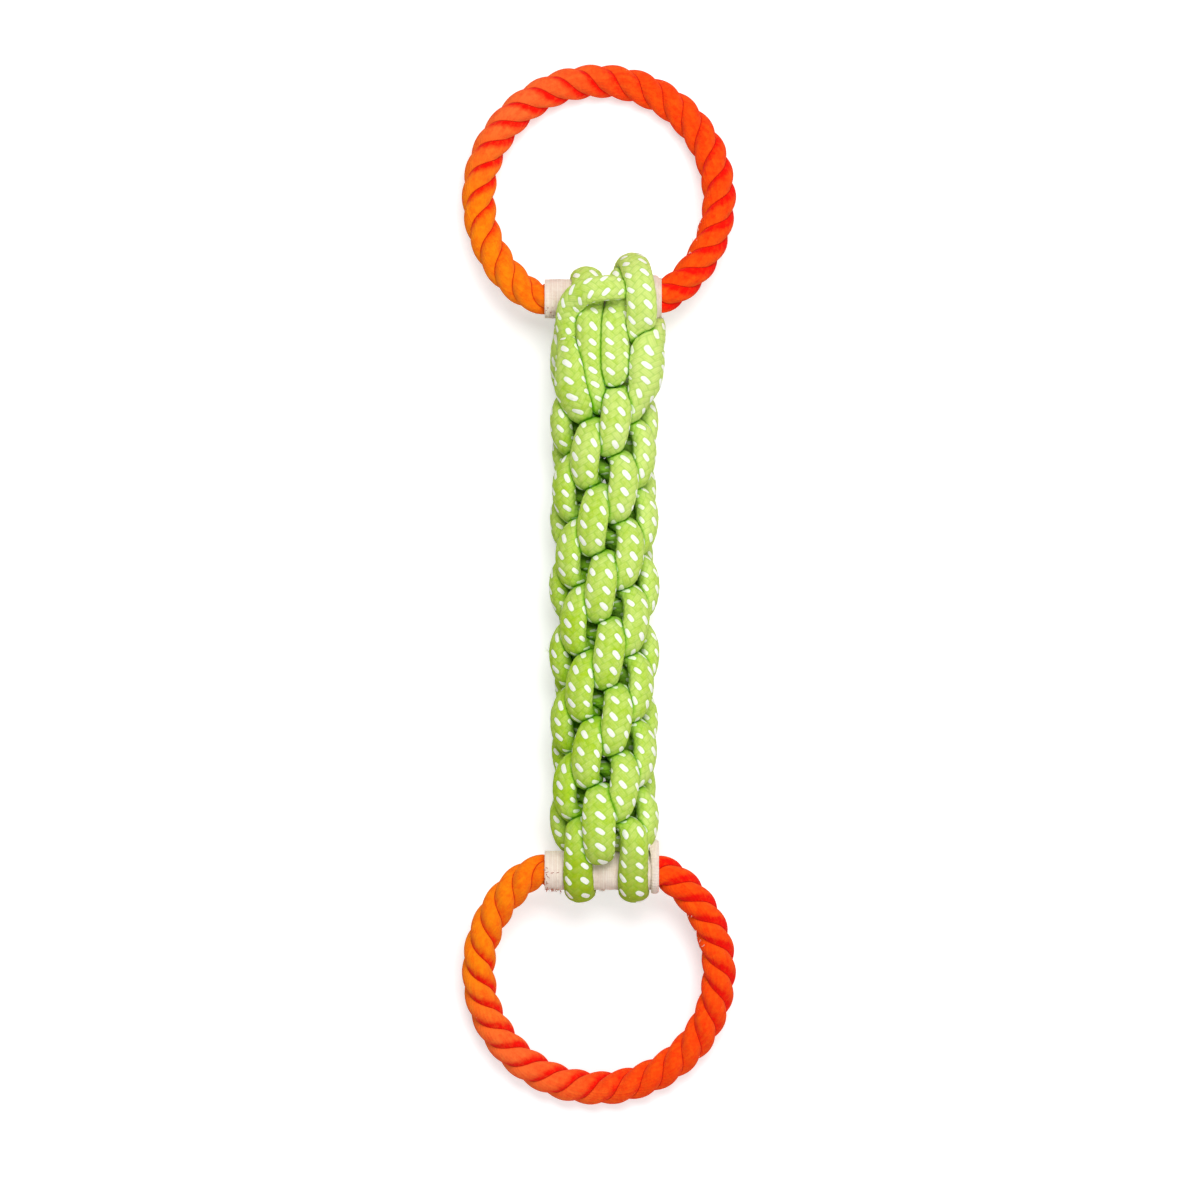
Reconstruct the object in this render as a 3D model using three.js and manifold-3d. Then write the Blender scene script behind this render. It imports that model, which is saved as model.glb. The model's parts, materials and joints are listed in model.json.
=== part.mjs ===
// A rope dog toy that lies flat on the floor. Two rings of three-strand rope, each with a sewn
// canvas sleeve, are joined by two soft cords. Each cord is middled round the lower sleeve, the
// four legs are plaited as a round crown plait, and their ends are lashed round the upper sleeve.
// Millimetres, +Z up, +Y along the toy, origin on the floor under its middle.
import * as THREE from 'three';
import { mergeVertices } from 'three/addons/utils/BufferGeometryUtils.js';
import Module from 'manifold-3d';

const wasm = await Module();
wasm.setup();

// Driving dimensions of a ring
const ringRadius = 45.75; // of the rope's centreline on the round part
const bendRadius = 10; // of the centreline where the round part turns into the sleeve
const ropeRadius = 6.1;
const grooveRadius = 4.1; // from the rope's centreline to the bottom of a groove
const layLength = 28.5; // length of one turn of a strand
const sleeveWall = 1.1;
const sleeveLength = 43;
const sleeveOverhang = 0.6; // how far a sleeve laps over the rope's bends at its two ends
const hemLength = 2.6;
const hemWall = 1.1;
const tabHeight = 3.2; // how far the lower hem stands up on the side of the plait

// Driving dimensions of the plait
const sleeveSpacing = 217.4; // between the axes of the two sleeves
const plaitX = 2; // the plait lies a little to one side of the rings' centres
const boutRadius = 16.8; // from the plait's axis to a cord's centreline where it shows
const cordHalfWidth = 5.5;
const cordHalfDepth = 4.1;
const crownPitch = 12.6; // between one crown and the next
const crownReach = 9; // from the axis to where a cord leaves the crown
const passOffset = 4.9; // from the axis to a cord that passes through the core
const passHalfWidth = 3.6;
const passHalfDepth = 1.8;
const wrapHalfWidth = 6; // a cord pressed flat round a sleeve
const wrapHalfDepth = 2.2;
const clearance = 0.3; // between pieces that touch on the real toy

// Counts, angles in degrees, and shares
const ropeStrands = 3;
const crowns = 14;
const legs = 4;
const firstSide = 12.5; // degrees, the side where the first leg enters the first crown
const sideStep = 129.8; // degrees from one crown's entry to the next
const lean = 12; // degrees that a bout leans round the plait on its way up
const flatShare = 0.1; // of a rope's or cord's thickness, pressed flat by the floor
const crestShare = 0.19; // of a strand's third of the rope, the half of its round crest
const layStepsPerTurn = 8;
const wrapStepsPerTurn = 10;
const sleeveSides = 12;
const sleeveSteps = 9;

const radians = THREE.MathUtils.degToRad;
const halfTurn = 180;
const quarterTurn = 90;
const plaitRadius = boutRadius + cordHalfDepth;
const plaitHeight = plaitRadius - 2 * cordHalfDepth * flatShare;
const sleeveY = sleeveSpacing / 2;
const sleeveBore = ropeRadius + clearance;
const sleeveRadius = sleeveBore + sleeveWall;

// A solid from rings of points. Caps close the ends of an open row of rings, and a row that
// joins its own start needs none. turned swaps the diagonal of the quads beside some points.
function skin(rings, { closed = false, turned = () => false, mirror = false } = {}) {
  const sides = rings[0].length;
  const positions = rings.flat().flatMap((p) => p.toArray());
  const triangles = [];
  const add = (a, b, c) => triangles.push(...(mirror ? [a, c, b] : [a, b, c]));
  const last = closed ? rings.length : rings.length - 1;
  for (let i = 0; i < last; i += 1) {
    for (let j = 0; j < sides; j += 1) {
      const k = (j + 1) % sides;
      const here = i * sides;
      const next = ((i + 1) % rings.length) * sides;
      if (turned(j)) {
        add(here + j, here + k, next + j);
        add(here + k, next + k, next + j);
      } else {
        add(here + j, here + k, next + k);
        add(here + j, next + k, next + j);
      }
    }
  }
  if (!closed) {
    const end = (rings.length - 1) * sides;
    for (let j = 1; j < sides - 1; j += 1) {
      add(0, j + 1, j);
      add(end, end + j, end + j + 1);
    }
  }
  const geometry = new THREE.BufferGeometry();
  geometry.setAttribute('position', new THREE.Float32BufferAttribute(positions, 3));
  geometry.setIndex(triangles);
  return geometry;
}

function toSolid(geometry) {
  const bare = geometry.clone();
  bare.deleteAttribute('normal');
  bare.deleteAttribute('uv');
  const merged = mergeVertices(bare);
  return new wasm.Manifold(new wasm.Mesh({
    numProp: 3,
    vertProperties: new Float32Array(merged.attributes.position.array),
    triVerts: new Uint32Array(merged.index.array),
  }));
}

function toGeometry(solid) {
  const { vertProperties, triVerts } = solid.getMesh();
  const geometry = new THREE.BufferGeometry();
  geometry.setAttribute('position', new THREE.Float32BufferAttribute(vertProperties, 3));
  geometry.setIndex(Array.from(triVerts));
  return geometry;
}

// The floor presses a soft piece flat: what would reach below it is cut away.
const floorSize = 2 * (sleeveSpacing + ringRadius);
const floorBlock = new THREE.BoxGeometry(floorSize, floorSize, plaitRadius);
floorBlock.translate(0, 0, -plaitRadius / 2);
const floorSolid = toSolid(floorBlock);

function pressFlat(geometry) {
  return toGeometry(toSolid(geometry).subtract(floorSolid));
}

function material(colour, roughness) {
  return new THREE.MeshStandardMaterial({ color: colour, roughness, metalness: 0 });
}

const toy = new THREE.Group();

function addPiece(name, geometry, finish) {
  geometry.computeVertexNormals();
  const mesh = new THREE.Mesh(geometry, finish);
  mesh.name = name;
  toy.add(mesh);
}

// The centreline of a ring in its own plane: a straight part in the sleeve, a bend at each end
// of it, and the round part. Distance runs along the rope from the middle of the sleeve.
const straightHalf = sleeveLength / 2 - sleeveOverhang;
const bendDepth = Math.sqrt((ringRadius - bendRadius) ** 2 - straightHalf ** 2);
const ringDrop = bendRadius + bendDepth; // from the ring's centre to the sleeve's axis
const bendAngle = Math.PI / 2 - Math.atan2(bendDepth, straightHalf);
const bendLength = bendRadius * bendAngle;
const roundHalf = ringRadius * (Math.PI - bendAngle);
const ropeHalf = straightHalf + bendLength + roundHalf;

function ringPlace(distance) {
  const side = distance < 0 ? -1 : 1;
  const along = Math.abs(distance);
  let heading = 0;
  let x = along;
  let out = 0;
  if (along > straightHalf + bendLength) {
    heading = bendAngle + (along - straightHalf - bendLength) / ringRadius;
    x = ringRadius * Math.sin(heading);
    out = ringDrop - ringRadius * Math.cos(heading);
  } else if (along > straightHalf) {
    heading = (along - straightHalf) / bendRadius;
    x = straightHalf + bendRadius * Math.sin(heading);
    out = bendRadius - bendRadius * Math.cos(heading);
  }
  const inward = new THREE.Vector2(-side * Math.sin(heading), Math.cos(heading));
  return { x: side * x, out, inward };
}

// A ring droops from its sleeve until the far side of the rope lies on the floor.
const farHeight = ropeRadius - 2 * ropeRadius * flatShare;
const droop = Math.asin((plaitHeight - farHeight) / (ringDrop + ringRadius));

// A point of a ring's rope: distance along it, and polar place about its centreline, where
// angle zero points to the ring's centre. end is 1 for the upper ring and -1 for the lower.
function ropePoint(end, distance, radius, angle) {
  const place = ringPlace(distance);
  const inPlane = radius * Math.cos(angle);
  const lift = radius * Math.sin(angle);
  const out = place.out + place.inward.y * inPlane;
  return new THREE.Vector3(
    place.x + place.inward.x * inPlane,
    end * (sleeveY + out * Math.cos(droop) + lift * Math.sin(droop)),
    plaitHeight - out * Math.sin(droop) + lift * Math.cos(droop),
  );
}

// One strand of the rope: a third of its section, rounded outside, turning along the ring. Its
// two ends butt inside the sleeve.
const sector = (2 * Math.PI) / ropeStrands;
const innerCorner = clearance / 2 / Math.sin(sector / 2);
const flankAngle = sector / 2 - Math.asin(clearance / 2 / grooveRadius);
const crestAngle = sector * crestShare;
const strandOutline = [
  [innerCorner, 0],
  [grooveRadius, -flankAngle],
  [ropeRadius, -crestAngle],
  [ropeRadius, crestAngle],
  [grooveRadius, flankAngle],
];

function ropeStrand(end, index) {
  const first = clearance / 2;
  const last = 2 * ropeHalf - clearance / 2;
  const steps = Math.round(((last - first) / layLength) * layStepsPerTurn);
  const rings = [];
  for (let i = 0; i <= steps; i += 1) {
    const distance = first + ((last - first) * i) / steps;
    const turn = (2 * Math.PI * distance) / layLength + index * sector;
    const place = distance > ropeHalf ? distance - 2 * ropeHalf : distance;
    rings.push(strandOutline.map(([r, a]) => ropePoint(end, place, r, a + turn)));
  }
  return skin(rings, { mirror: end < 0, turned: (j) => j > 0 });
}

// A canvas tube sewn round the rope: its outer rings one way, then its bore back. The flats of
// the bore keep its radius.
const flatToCorner = Math.cos(Math.PI / sleeveSides);

function canvasTube(end, from, to, bore, outer) {
  const rings = [];
  const ringAt = (distance, radiusAt) => {
    const ring = [];
    for (let j = 0; j < sleeveSides; j += 1) {
      const angle = (2 * Math.PI * j) / sleeveSides;
      ring.push(ropePoint(end, distance, radiusAt(angle), angle));
    }
    return ring;
  };
  for (let i = 0; i <= sleeveSteps; i += 1) {
    rings.push(ringAt(from + ((to - from) * i) / sleeveSteps, outer));
  }
  for (let i = sleeveSteps; i >= 0; i -= 1) {
    rings.push(ringAt(from + ((to - from) * i) / sleeveSteps, () => bore / flatToCorner));
  }
  return skin(rings, { closed: true, mirror: end < 0 });
}

// The hem at a sleeve's right end lies beside the cord that is wrapped there.
const rightWrapShare = 0.55; // of the plait's radius, the middle of the right wrap
const rightWrapEdge = plaitX + rightWrapShare * plaitRadius + wrapHalfWidth;
const sleeveTo = rightWrapEdge + clearance + hemLength;
const sleeveFrom = sleeveTo - sleeveLength;
const hemBore = sleeveRadius + clearance;
const hemRadius = hemBore + hemWall;

// Towards the plait the lower hem has a folded tab.
function tabbedHem(angle) {
  const facing = Math.max(0, -Math.cos(angle));
  return hemRadius + tabHeight * facing ** 3;
}

const rope = material(0xe8480c, 0.92);
const canvas = material(0xe9dfd2, 0.95);
const cordFinish = material(0x9ecb3c, 0.94);

const ends = [
  { name: 'top', end: 1, hem: () => hemRadius },
  { name: 'bottom', end: -1, hem: tabbedHem },
];
for (const { name, end, hem } of ends) {
  for (let index = 0; index < ropeStrands; index += 1) {
    const strand = pressFlat(ropeStrand(end, index));
    addPiece(`${name}_ring_strand_${index + 1}`, strand, rope);
  }
  const sleeve = canvasTube(end, sleeveFrom, sleeveTo, sleeveBore, () => sleeveRadius);
  addPiece(`${name}_sleeve`, sleeve, canvas);
  const hemPiece = canvasTube(end, sleeveTo - hemLength, sleeveTo, hemBore, hem);
  addPiece(`${name}_sleeve_hem`, hemPiece, canvas);
}

// A place on the plait: angle zero faces up, 90 degrees faces +X.
function plaitPoint(radius, degrees, y) {
  const angle = radians(degrees);
  return new THREE.Vector3(
    plaitX + radius * Math.sin(angle),
    y,
    plaitHeight + radius * Math.cos(angle),
  );
}

function aroundPlait(degrees) {
  const angle = radians(degrees);
  return new THREE.Vector3(Math.cos(angle), 0, -Math.sin(angle));
}

// In each crown a leg passes over one neighbour and under the next, then leaves on the far side
// and bows out as a bout on its way up to the next crown.
const crownRise = crownPitch / 4; // how far a pass lies above or below the middle of its crown
const boutHalfHeight = crownPitch / 2 + crownRise;
const entryOffset = (lean + halfTurn - sideStep) / 2;
const boutAngles = [15, 50, 90, 130, 165]; // degrees along a bout, 90 at its middle
const arrivalAngles = [105, 130, 165]; // the same, where a leg comes up from the lower sleeve
const firstCrownY = -sleeveY + sleeveRadius + 2 * crownRise;
const upright = new THREE.Vector3(0, 1, 0);

function crownY(crown) {
  return firstCrownY + crown * crownPitch;
}

function passStations(side, crown) {
  const radius = passOffset * Math.SQRT2;
  return [1, -1].map((over) => ({
    at: plaitPoint(radius, side + quarterTurn - (over * quarterTurn) / 2, crownY(crown) + over * crownRise),
    across: aroundPlait(side).multiplyScalar(passOffset)
      .addScaledVector(upright, -over * crownRise),
    halfWidth: passHalfWidth,
    halfDepth: passHalfDepth,
  }));
}

function boutStation(side, crown, degrees) {
  const swell = Math.sin(radians(degrees));
  const angle = side + halfTurn - entryOffset + (lean * degrees) / halfTurn;
  const y = crownY(crown) + crownPitch / 2 - boutHalfHeight * Math.cos(radians(degrees));
  return {
    at: plaitPoint(crownReach + (boutRadius - crownReach) * swell, angle, y),
    across: aroundPlait(angle),
    halfWidth: passHalfWidth + (cordHalfWidth - passHalfWidth) * swell ** 6,
    halfDepth: passHalfDepth + (cordHalfDepth - passHalfDepth) * swell ** 2,
  };
}

// The cord's places that no formula gives are lists chosen by hand. Each row is a place beside
// a sleeve's axis, x, y away from the plait and z, as shares of the plait's radius, then the
// half width and half depth there as shares of the cord's own. A cord faces out from the plait's
// axis, and turns within nearSleeveShares to face out from the sleeve's.
const nearSleeveShares = [-0.85, -0.3];

function handStations(end, rows) {
  return rows.map(([x, y, z, width, depth]) => {
    const bySleeve = THREE.MathUtils.smoothstep(y, ...nearSleeveShares);
    return {
      at: new THREE.Vector3(
        plaitX + x * plaitRadius,
        end * (sleeveY + y * plaitRadius),
        plaitHeight + z * plaitRadius,
      ),
      out: new THREE.Vector3(x * (1 - bySleeve), end * y * bySleeve, z),
      halfWidth: width * cordHalfWidth,
      halfDepth: depth * cordHalfDepth,
    };
  });
}

// A cord bends round a sleeve in an arc. Angles are in degrees, zero facing up and 90 facing
// away from the plait. layer is how many pressed cords lie between it and the sleeve.
function wrapStations(end, { x, from, to, layer = 0, width = 1 }) {
  const steps = Math.round((Math.abs(to - from) * wrapStepsPerTurn) / (2 * halfTurn));
  const pressed = sleeveRadius + clearance + wrapHalfDepth;
  const radius = pressed + layer * (2 * wrapHalfDepth + clearance);
  const chord = Math.cos(radians(Math.abs(to - from) / steps / 2));
  const stations = [];
  for (let i = 0; i <= steps; i += 1) {
    const share = i / steps;
    const angle = radians(from + (to - from) * share);
    const out = new THREE.Vector3(0, end * Math.sin(angle), Math.cos(angle));
    const across = x[0] + (x[1] - x[0]) * share;
    const foot = new THREE.Vector3(plaitX + across * plaitRadius, end * sleeveY, plaitHeight);
    stations.push({
      at: foot.addScaledVector(out, radius / chord),
      out,
      halfWidth: width * wrapHalfWidth,
      halfDepth: wrapHalfDepth,
    });
  }
  return stations;
}

const middleWraps = {
  right: { x: [rightWrapShare, rightWrapShare], from: -20, to: 200 },
  left: { x: [-0.46, -0.46], from: -20, to: 200 },
};

// How each leg goes on above the last crown: places on the way to the upper sleeve, the wrap
// round it, and places on the way to where the end is tucked in.
const lashings = {
  frontRight: {
    before: [
      [0.58, -1.86, 0.48, 0.82, 0.7],
      [0.78, -1.58, 0.5, 0.95, 0.95],
      [0.84, -1.2, 0.48, 1, 1.1],
      [0.88, -0.88, 0.38, 0.95, 1],
      [0.92, -0.68, 0.1, 0.78, 0.8],
      [0.8, -0.56, -0.32, 0.78, 0.6],
      [0.5, -0.34, -0.55, 0.75, 0.55],
    ],
    wrap: { x: [0.28, 0.17], from: 190, to: -20, width: 0.75 },
    after: [
      [0.17, -0.5, 0.62, 0.78, 0.75],
      [0.17, -0.95, 0.66, 0.82, 0.9],
      [0.18, -1.3, 0.66, 0.78, 0.85],
      [0.17, -1.55, 0.62, 0.7, 0.6],
      [0.18, -1.66, 0.6, 0.4, 0.35],
    ],
  },
  backRight: {
    before: [
      [0.43, -1.8, -0.63, 0.8, 0.75],
      [0.48, -1.3, -0.78, 0.95, 0.95],
      [0.46, -0.7, -0.84, 0.9, 0.8],
      [0.45, -0.3, -0.84, 0.9, 0.6],
    ],
    wrap: { x: [0.46, 0.66], from: 170, to: 10, layer: 1.15, width: 0.85 },
    after: [
      [0.68, -0.16, 0.75, 0.9, 0.66],
      [0.66, -0.4, 0.66, 0.82, 0.66],
      [0.6, -0.64, 0.48, 0.75, 0.6],
      [0.54, -0.8, 0.34, 0.4, 0.35],
    ],
  },
  backLeft: {
    before: [
      [-0.6, -1.83, -0.48, 0.82, 0.75],
      [-0.75, -1.4, -0.43, 0.9, 0.95],
      [-0.79, -0.95, -0.25, 0.9, 0.95],
      [-0.72, -0.53, -0.38, 0.82, 0.75],
      [-0.55, -0.26, -0.54, 0.78, 0.6],
    ],
    wrap: { x: [-0.42, -0.29], from: 180, to: -20, width: 0.7 },
    after: [
      [-0.29, -0.5, 0.62, 0.74, 0.75],
      [-0.28, -0.95, 0.66, 0.74, 0.9],
      [-0.27, -1.35, 0.65, 0.7, 0.85],
      [-0.19, -1.7, 0.64, 0.66, 0.6],
      [-0.17, -1.82, 0.62, 0.4, 0.35],
    ],
  },
  frontLeft: {
    before: [
      [-0.49, -1.87, 0.63, 0.8, 0.72],
      [-0.59, -1.65, 0.68, 0.96, 0.98],
      [-0.62, -1.3, 0.7, 1, 1],
      [-0.68, -1, 0.62, 0.9, 0.9],
      [-0.68, -0.72, 0.48, 0.7, 0.66],
      [-0.67, -0.4, 0.52, 0.8, 0.66],
      [-0.62, -0.08, 0.64, 0.85, 0.66],
      [-0.5, 0.1, 0.77, 0.85, 0.66],
      [-0.32, 0.17, 0.82, 0.85, 0.66],
      [-0.1, 0.2, 0.83, 0.85, 0.66],
      [0.12, 0.2, 0.83, 0.85, 0.66],
      [0.26, 0.2, 0.8, 0.75, 0.6],
      [0.33, 0.2, 0.77, 0.4, 0.35],
    ],
  },
};

// Eight points round a cord's section, wider than deep where it is pressed.
const cornerShare = 0.42;
const sectionShares = [
  [1, cornerShare],
  [cornerShare, 1],
  [-cornerShare, 1],
  [-1, cornerShare],
  [-1, -cornerShare],
  [-cornerShare, -1],
  [cornerShare, -1],
  [1, -cornerShare],
];

function cordRings(stations) {
  let before = null;
  return stations.map(({ at, across, out, halfWidth, halfDepth }, i) => {
    const from = stations[Math.max(0, i - 1)].at;
    const to = stations[Math.min(stations.length - 1, i + 1)].at;
    const along = to.clone().sub(from).normalize();
    const wide = across ? across.clone() : out.clone().cross(along);
    wide.addScaledVector(along, -wide.dot(along)).normalize();
    if (before && wide.dot(before) < 0) {
      wide.negate();
    }
    before = wide;
    const deep = along.clone().cross(wide);
    return sectionShares.map(([w, d]) => at.clone()
      .addScaledVector(wide, w * halfWidth)
      .addScaledVector(deep, d * halfDepth));
  });
}

function legSide(leg, crown) {
  return firstSide + sideStep * crown + quarterTurn * leg;
}

function legStations(leg, { before, wrap, after }) {
  const stations = arrivalAngles.map((degrees) => boutStation(legSide(leg, -1), -1, degrees));
  for (let crown = 0; crown < crowns; crown += 1) {
    const side = legSide(leg, crown);
    const angles = crown < crowns - 1 ? boutAngles : boutAngles.slice(0, 1);
    stations.push(...passStations(side, crown));
    stations.push(...angles.map((degrees) => boutStation(side, crown, degrees)));
  }
  stations.push(...handStations(1, before));
  return wrap ? [...stations, ...wrapStations(1, wrap), ...handStations(1, after)] : stations;
}

// One cord: up its front leg, and from the same sleeve up its back leg.
function cordGeometry(frontLeg, frontLashing, middleWrap, backLeg, backLashing) {
  const front = legStations(frontLeg, frontLashing).reverse();
  const back = legStations(backLeg, backLashing);
  return skin(cordRings([...front, ...wrapStations(-1, middleWrap), ...back]));
}

const { frontRight, backRight, backLeft, frontLeft } = lashings;
const rightCord = cordGeometry(0, frontRight, middleWraps.right, 1, backRight);
const leftCord = cordGeometry(legs - 1, frontLeft, middleWraps.left, 2, backLeft);
addPiece('right_cord', pressFlat(rightCord), cordFinish);
addPiece('left_cord', pressFlat(leftCord), cordFinish);

export default toy;
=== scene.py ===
# %% [markdown]
# # A rope dog toy
# Two ring handles of orange rope are joined by a plait of soft green cord. The toy lies flat on
# a pale floor, and the camera looks straight down on it, as a catalogue picture does. Sizes are
# in millimetres here and turn into metres when a mesh is made. The two ring hinges of the packed
# model give the places of everything else.

# %% Load the frame
import json
import math
import bpy
import numpy as np
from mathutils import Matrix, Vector


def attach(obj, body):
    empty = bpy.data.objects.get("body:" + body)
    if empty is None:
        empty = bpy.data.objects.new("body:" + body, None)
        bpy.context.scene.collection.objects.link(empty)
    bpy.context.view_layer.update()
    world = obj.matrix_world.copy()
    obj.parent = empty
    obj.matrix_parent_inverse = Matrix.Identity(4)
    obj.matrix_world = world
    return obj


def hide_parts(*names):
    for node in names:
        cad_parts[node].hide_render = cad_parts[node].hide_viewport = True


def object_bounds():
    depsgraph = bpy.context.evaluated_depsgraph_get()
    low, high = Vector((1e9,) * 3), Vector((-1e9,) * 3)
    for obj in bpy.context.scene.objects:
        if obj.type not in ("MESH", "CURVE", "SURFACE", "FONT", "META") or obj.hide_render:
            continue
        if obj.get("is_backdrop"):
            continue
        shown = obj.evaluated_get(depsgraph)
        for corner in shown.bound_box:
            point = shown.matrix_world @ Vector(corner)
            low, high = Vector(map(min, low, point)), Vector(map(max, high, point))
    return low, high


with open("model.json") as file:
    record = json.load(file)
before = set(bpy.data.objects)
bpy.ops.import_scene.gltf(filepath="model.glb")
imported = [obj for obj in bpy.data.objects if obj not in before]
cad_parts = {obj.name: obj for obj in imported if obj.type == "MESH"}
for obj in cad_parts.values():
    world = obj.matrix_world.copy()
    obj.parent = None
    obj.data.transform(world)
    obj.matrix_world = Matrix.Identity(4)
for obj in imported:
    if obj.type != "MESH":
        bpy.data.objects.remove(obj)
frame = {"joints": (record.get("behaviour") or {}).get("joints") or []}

MM = 0.001
cad_low, cad_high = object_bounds()
hinges = {joint["child"]: [value / MM for value in joint["pos_m"]] for joint in frame["joints"]}
sleeve_y = hinges["ring_top"][1]
plait_height = hinges["ring_top"][2]
print(f"the toy is {(cad_high - cad_low).y / MM:.0f} mm long; hinges {sleeve_y:.1f} mm from its middle")

# %% [markdown]
# ## Camera
# A flat object photographed from above keeps its proportions only if the camera is far away and
# its lens is long. A short lens would make the plait, which stands 40 mm off the floor, look
# wider than the rings, which touch it.

# %% Camera
frame_width = 456  # of the floor that the square picture covers
picture_centre = (0.4, -5.9)
lens = 300
sensor = 36
camera_height = frame_width * lens / sensor + plait_height

camera_data = bpy.data.cameras.new("camera")
camera_data.lens = lens
camera_data.sensor_width = sensor
camera = bpy.data.objects.new("camera", camera_data)
camera.location = (picture_centre[0] * MM, picture_centre[1] * MM, camera_height * MM)
bpy.context.scene.collection.objects.link(camera)
bpy.context.scene.camera = camera
print(f"camera {camera_height:.0f} mm above the floor")

# %% [markdown]
# ## Shader helpers
# Every finish is a node tree. Its nodes could be added and linked one by one, but forty of them
# are hard to follow. Here each output is kept as a Value, and to add or multiply two of them adds
# the math node and its links, so a finish reads like a sum.

# %% Values of a shader
class Value:
    """The output of a node. Sums and products of Values are math nodes."""

    def __init__(self, graph, socket):
        self.graph = graph
        self.socket = socket

    def __add__(self, other):
        return self.graph.math("ADD", self, other)

    def __sub__(self, other):
        return self.graph.math("SUBTRACT", self, other)

    def __rsub__(self, other):
        return self.graph.math("SUBTRACT", other, self)

    def __mul__(self, other):
        return self.graph.math("MULTIPLY", self, other)

    def __pow__(self, other):
        return self.graph.math("POWER", self, other)

    def __mod__(self, other):
        return self.graph.math("FLOORED_MODULO", self, other)

    def __abs__(self):
        return self.graph.math("ABSOLUTE", self)

    def __floor__(self):
        return self.graph.math("FLOOR", self)


# %% Shader helpers
class Graph:
    """Adds nodes to a tree. What feeds a node may be a number, a colour or a Value."""

    def __init__(self, tree):
        self.tree = tree

    def feed(self, socket, value):
        if isinstance(value, Value):
            self.tree.links.new(value.socket, socket)
        else:
            socket.default_value = value

    def add(self, kind, feeds, output=0, **settings):
        """A node of one kind. Returns one of its outputs."""
        node = self.tree.nodes.new("ShaderNode" + kind)
        for name, value in settings.items():
            setattr(node, name, value)
        for name, value in feeds.items():
            self.feed(node.inputs[name], value)
        return Value(self, node.outputs[output]) if node.outputs else None

    def outputs(self, value):
        """All outputs of the node that a value comes from, by name."""
        return {socket.name: Value(self, socket) for socket in value.socket.node.outputs}

    def math(self, operation, *values, clamp=False):
        return self.add("Math", dict(enumerate(values)), operation=operation, use_clamp=clamp)

    def clamp(self, value):
        """The value, kept between zero and one."""
        return self.math("ADD", value, 0, clamp=True)

    def pick(self, share, first, second):
        """A number between two, by share."""
        return self.add("Mix", {0: share, 2: first, 3: second})

    def blend(self, share, first, second):
        """A colour between two, by share."""
        return self.add("Mix", {0: share, 6: first, 7: second}, 2, data_type="RGBA")

    def ramp(self, value, low, high):
        """Zero at low, one at high, smooth between."""
        feeds = {"Value": value, "From Min": low, "From Max": high}
        return self.add("MapRange", feeds, interpolation_type="SMOOTHSTEP")

    def noise(self, place, scale, detail=2, roughness=0.5):
        feeds = {"Vector": place, "Scale": scale, "Detail": detail, "Roughness": roughness}
        return self.add("TexNoise", feeds)

    def scatter(self, *values):
        """A random number for each set of whole numbers."""
        return self.add("TexWhiteNoise", {"Vector": self.add("CombineXYZ", dict(enumerate(values)))})

    def surface_place(self):
        """The place on the piece, in metres."""
        return self.add("TexCoord", {}, "Object")

    def parts(self, vector):
        return list(self.outputs(self.add("SeparateXYZ", {0: vector})).values())

    def run(self):
        """The places along and round a tube, from its UV map."""
        return self.parts(self.add("UVMap", {}, uv_map="run"))[:2]

    def kept(self, name):
        """A number that a piece keeps for each vertex."""
        return self.add("Attribute", {}, "Fac", attribute_name=name)

    def group(self, tree, **feeds):
        """The outputs of a node group, by name."""
        return self.outputs(self.add("Group", feeds, node_tree=tree))

    def cloth(self, base, height, bump_depth, sheen):
        """The end of every finish here: a rough fabric with a soft sheen and a bump."""
        bump = self.add("Bump", {"Distance": bump_depth * MM, "Height": height})
        shader = self.add("BsdfPrincipled", {
            "Base Color": base, "Roughness": 0.9, "Specular IOR Level": 0.05,
            "Sheen Weight": sheen, "Sheen Roughness": 0.6, "Normal": bump,
        })
        self.add("OutputMaterial", {"Surface": shader})


# %% Colours, materials and node groups
def colour(red, green, blue):
    """A colour as picture programs write it, 0 to 255, in the linear values that shaders use."""
    shares = [value / 255 for value in (red, green, blue)]
    return (*[s / 12.92 if s <= 0.04045 else ((s + 0.055) / 1.055) ** 2.4 for s in shares], 1)


def new_material(name):
    """An empty material, and the graph that fills it."""
    made = bpy.data.materials.new(name)
    made.use_nodes = True
    made.node_tree.nodes.clear()
    return made, Graph(made.node_tree)


def node_group(name, inputs, make):
    """A node group. inputs gives each name its usual value, or None for a vector, and make adds
    the nodes and returns the outputs by name."""
    tree = bpy.data.node_groups.new(name, "ShaderNodeTree")
    for socket_name, value in inputs.items():
        kind = "NodeSocketVector" if value is None else "NodeSocketFloat"
        socket = tree.interface.new_socket(socket_name, in_out="INPUT", socket_type=kind)
        if value is not None:
            socket.default_value = value
    graph = Graph(tree)
    entry = tree.nodes.new("NodeGroupInput").outputs
    made = make(graph, {socket.name: Value(graph, socket) for socket in entry})
    for socket_name in made:
        tree.interface.new_socket(socket_name, in_out="OUTPUT", socket_type="NodeSocketFloat")
    leave = tree.nodes.new("NodeGroupOutput").inputs
    for socket_name, value in made.items():
        graph.feed(leave[socket_name], value)
    return tree


print("shader helpers ready")

# %% [markdown]
# ## Floor, lamps and world
# One big soft lamp above, a little towards the upper ring, rounds every cord with a gentle shade.
# A weaker one fills the other side. The floor is pale, and a share of plain emission that only
# camera, glossy and transmission rays see lifts it to white without adding light to the toy.

# %% Floor, lamps and world
floor_half_size = 6.0  # metres
floor_drop = 0.3 * MM  # so that the toy's underside never flickers with it
floor_grey = (0.8, 0.8, 0.8, 1)
floor_lift = 0.42
ambient = 0.42


def seen_directly(graph):
    """One for rays that show the background: from the camera, in gloss, or through glass."""
    rays = graph.outputs(graph.add("LightPath", {}))
    either = graph.math("MAXIMUM", rays["Is Camera Ray"], rays["Is Glossy Ray"])
    return graph.math("MAXIMUM", either, rays["Is Transmission Ray"])


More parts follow.
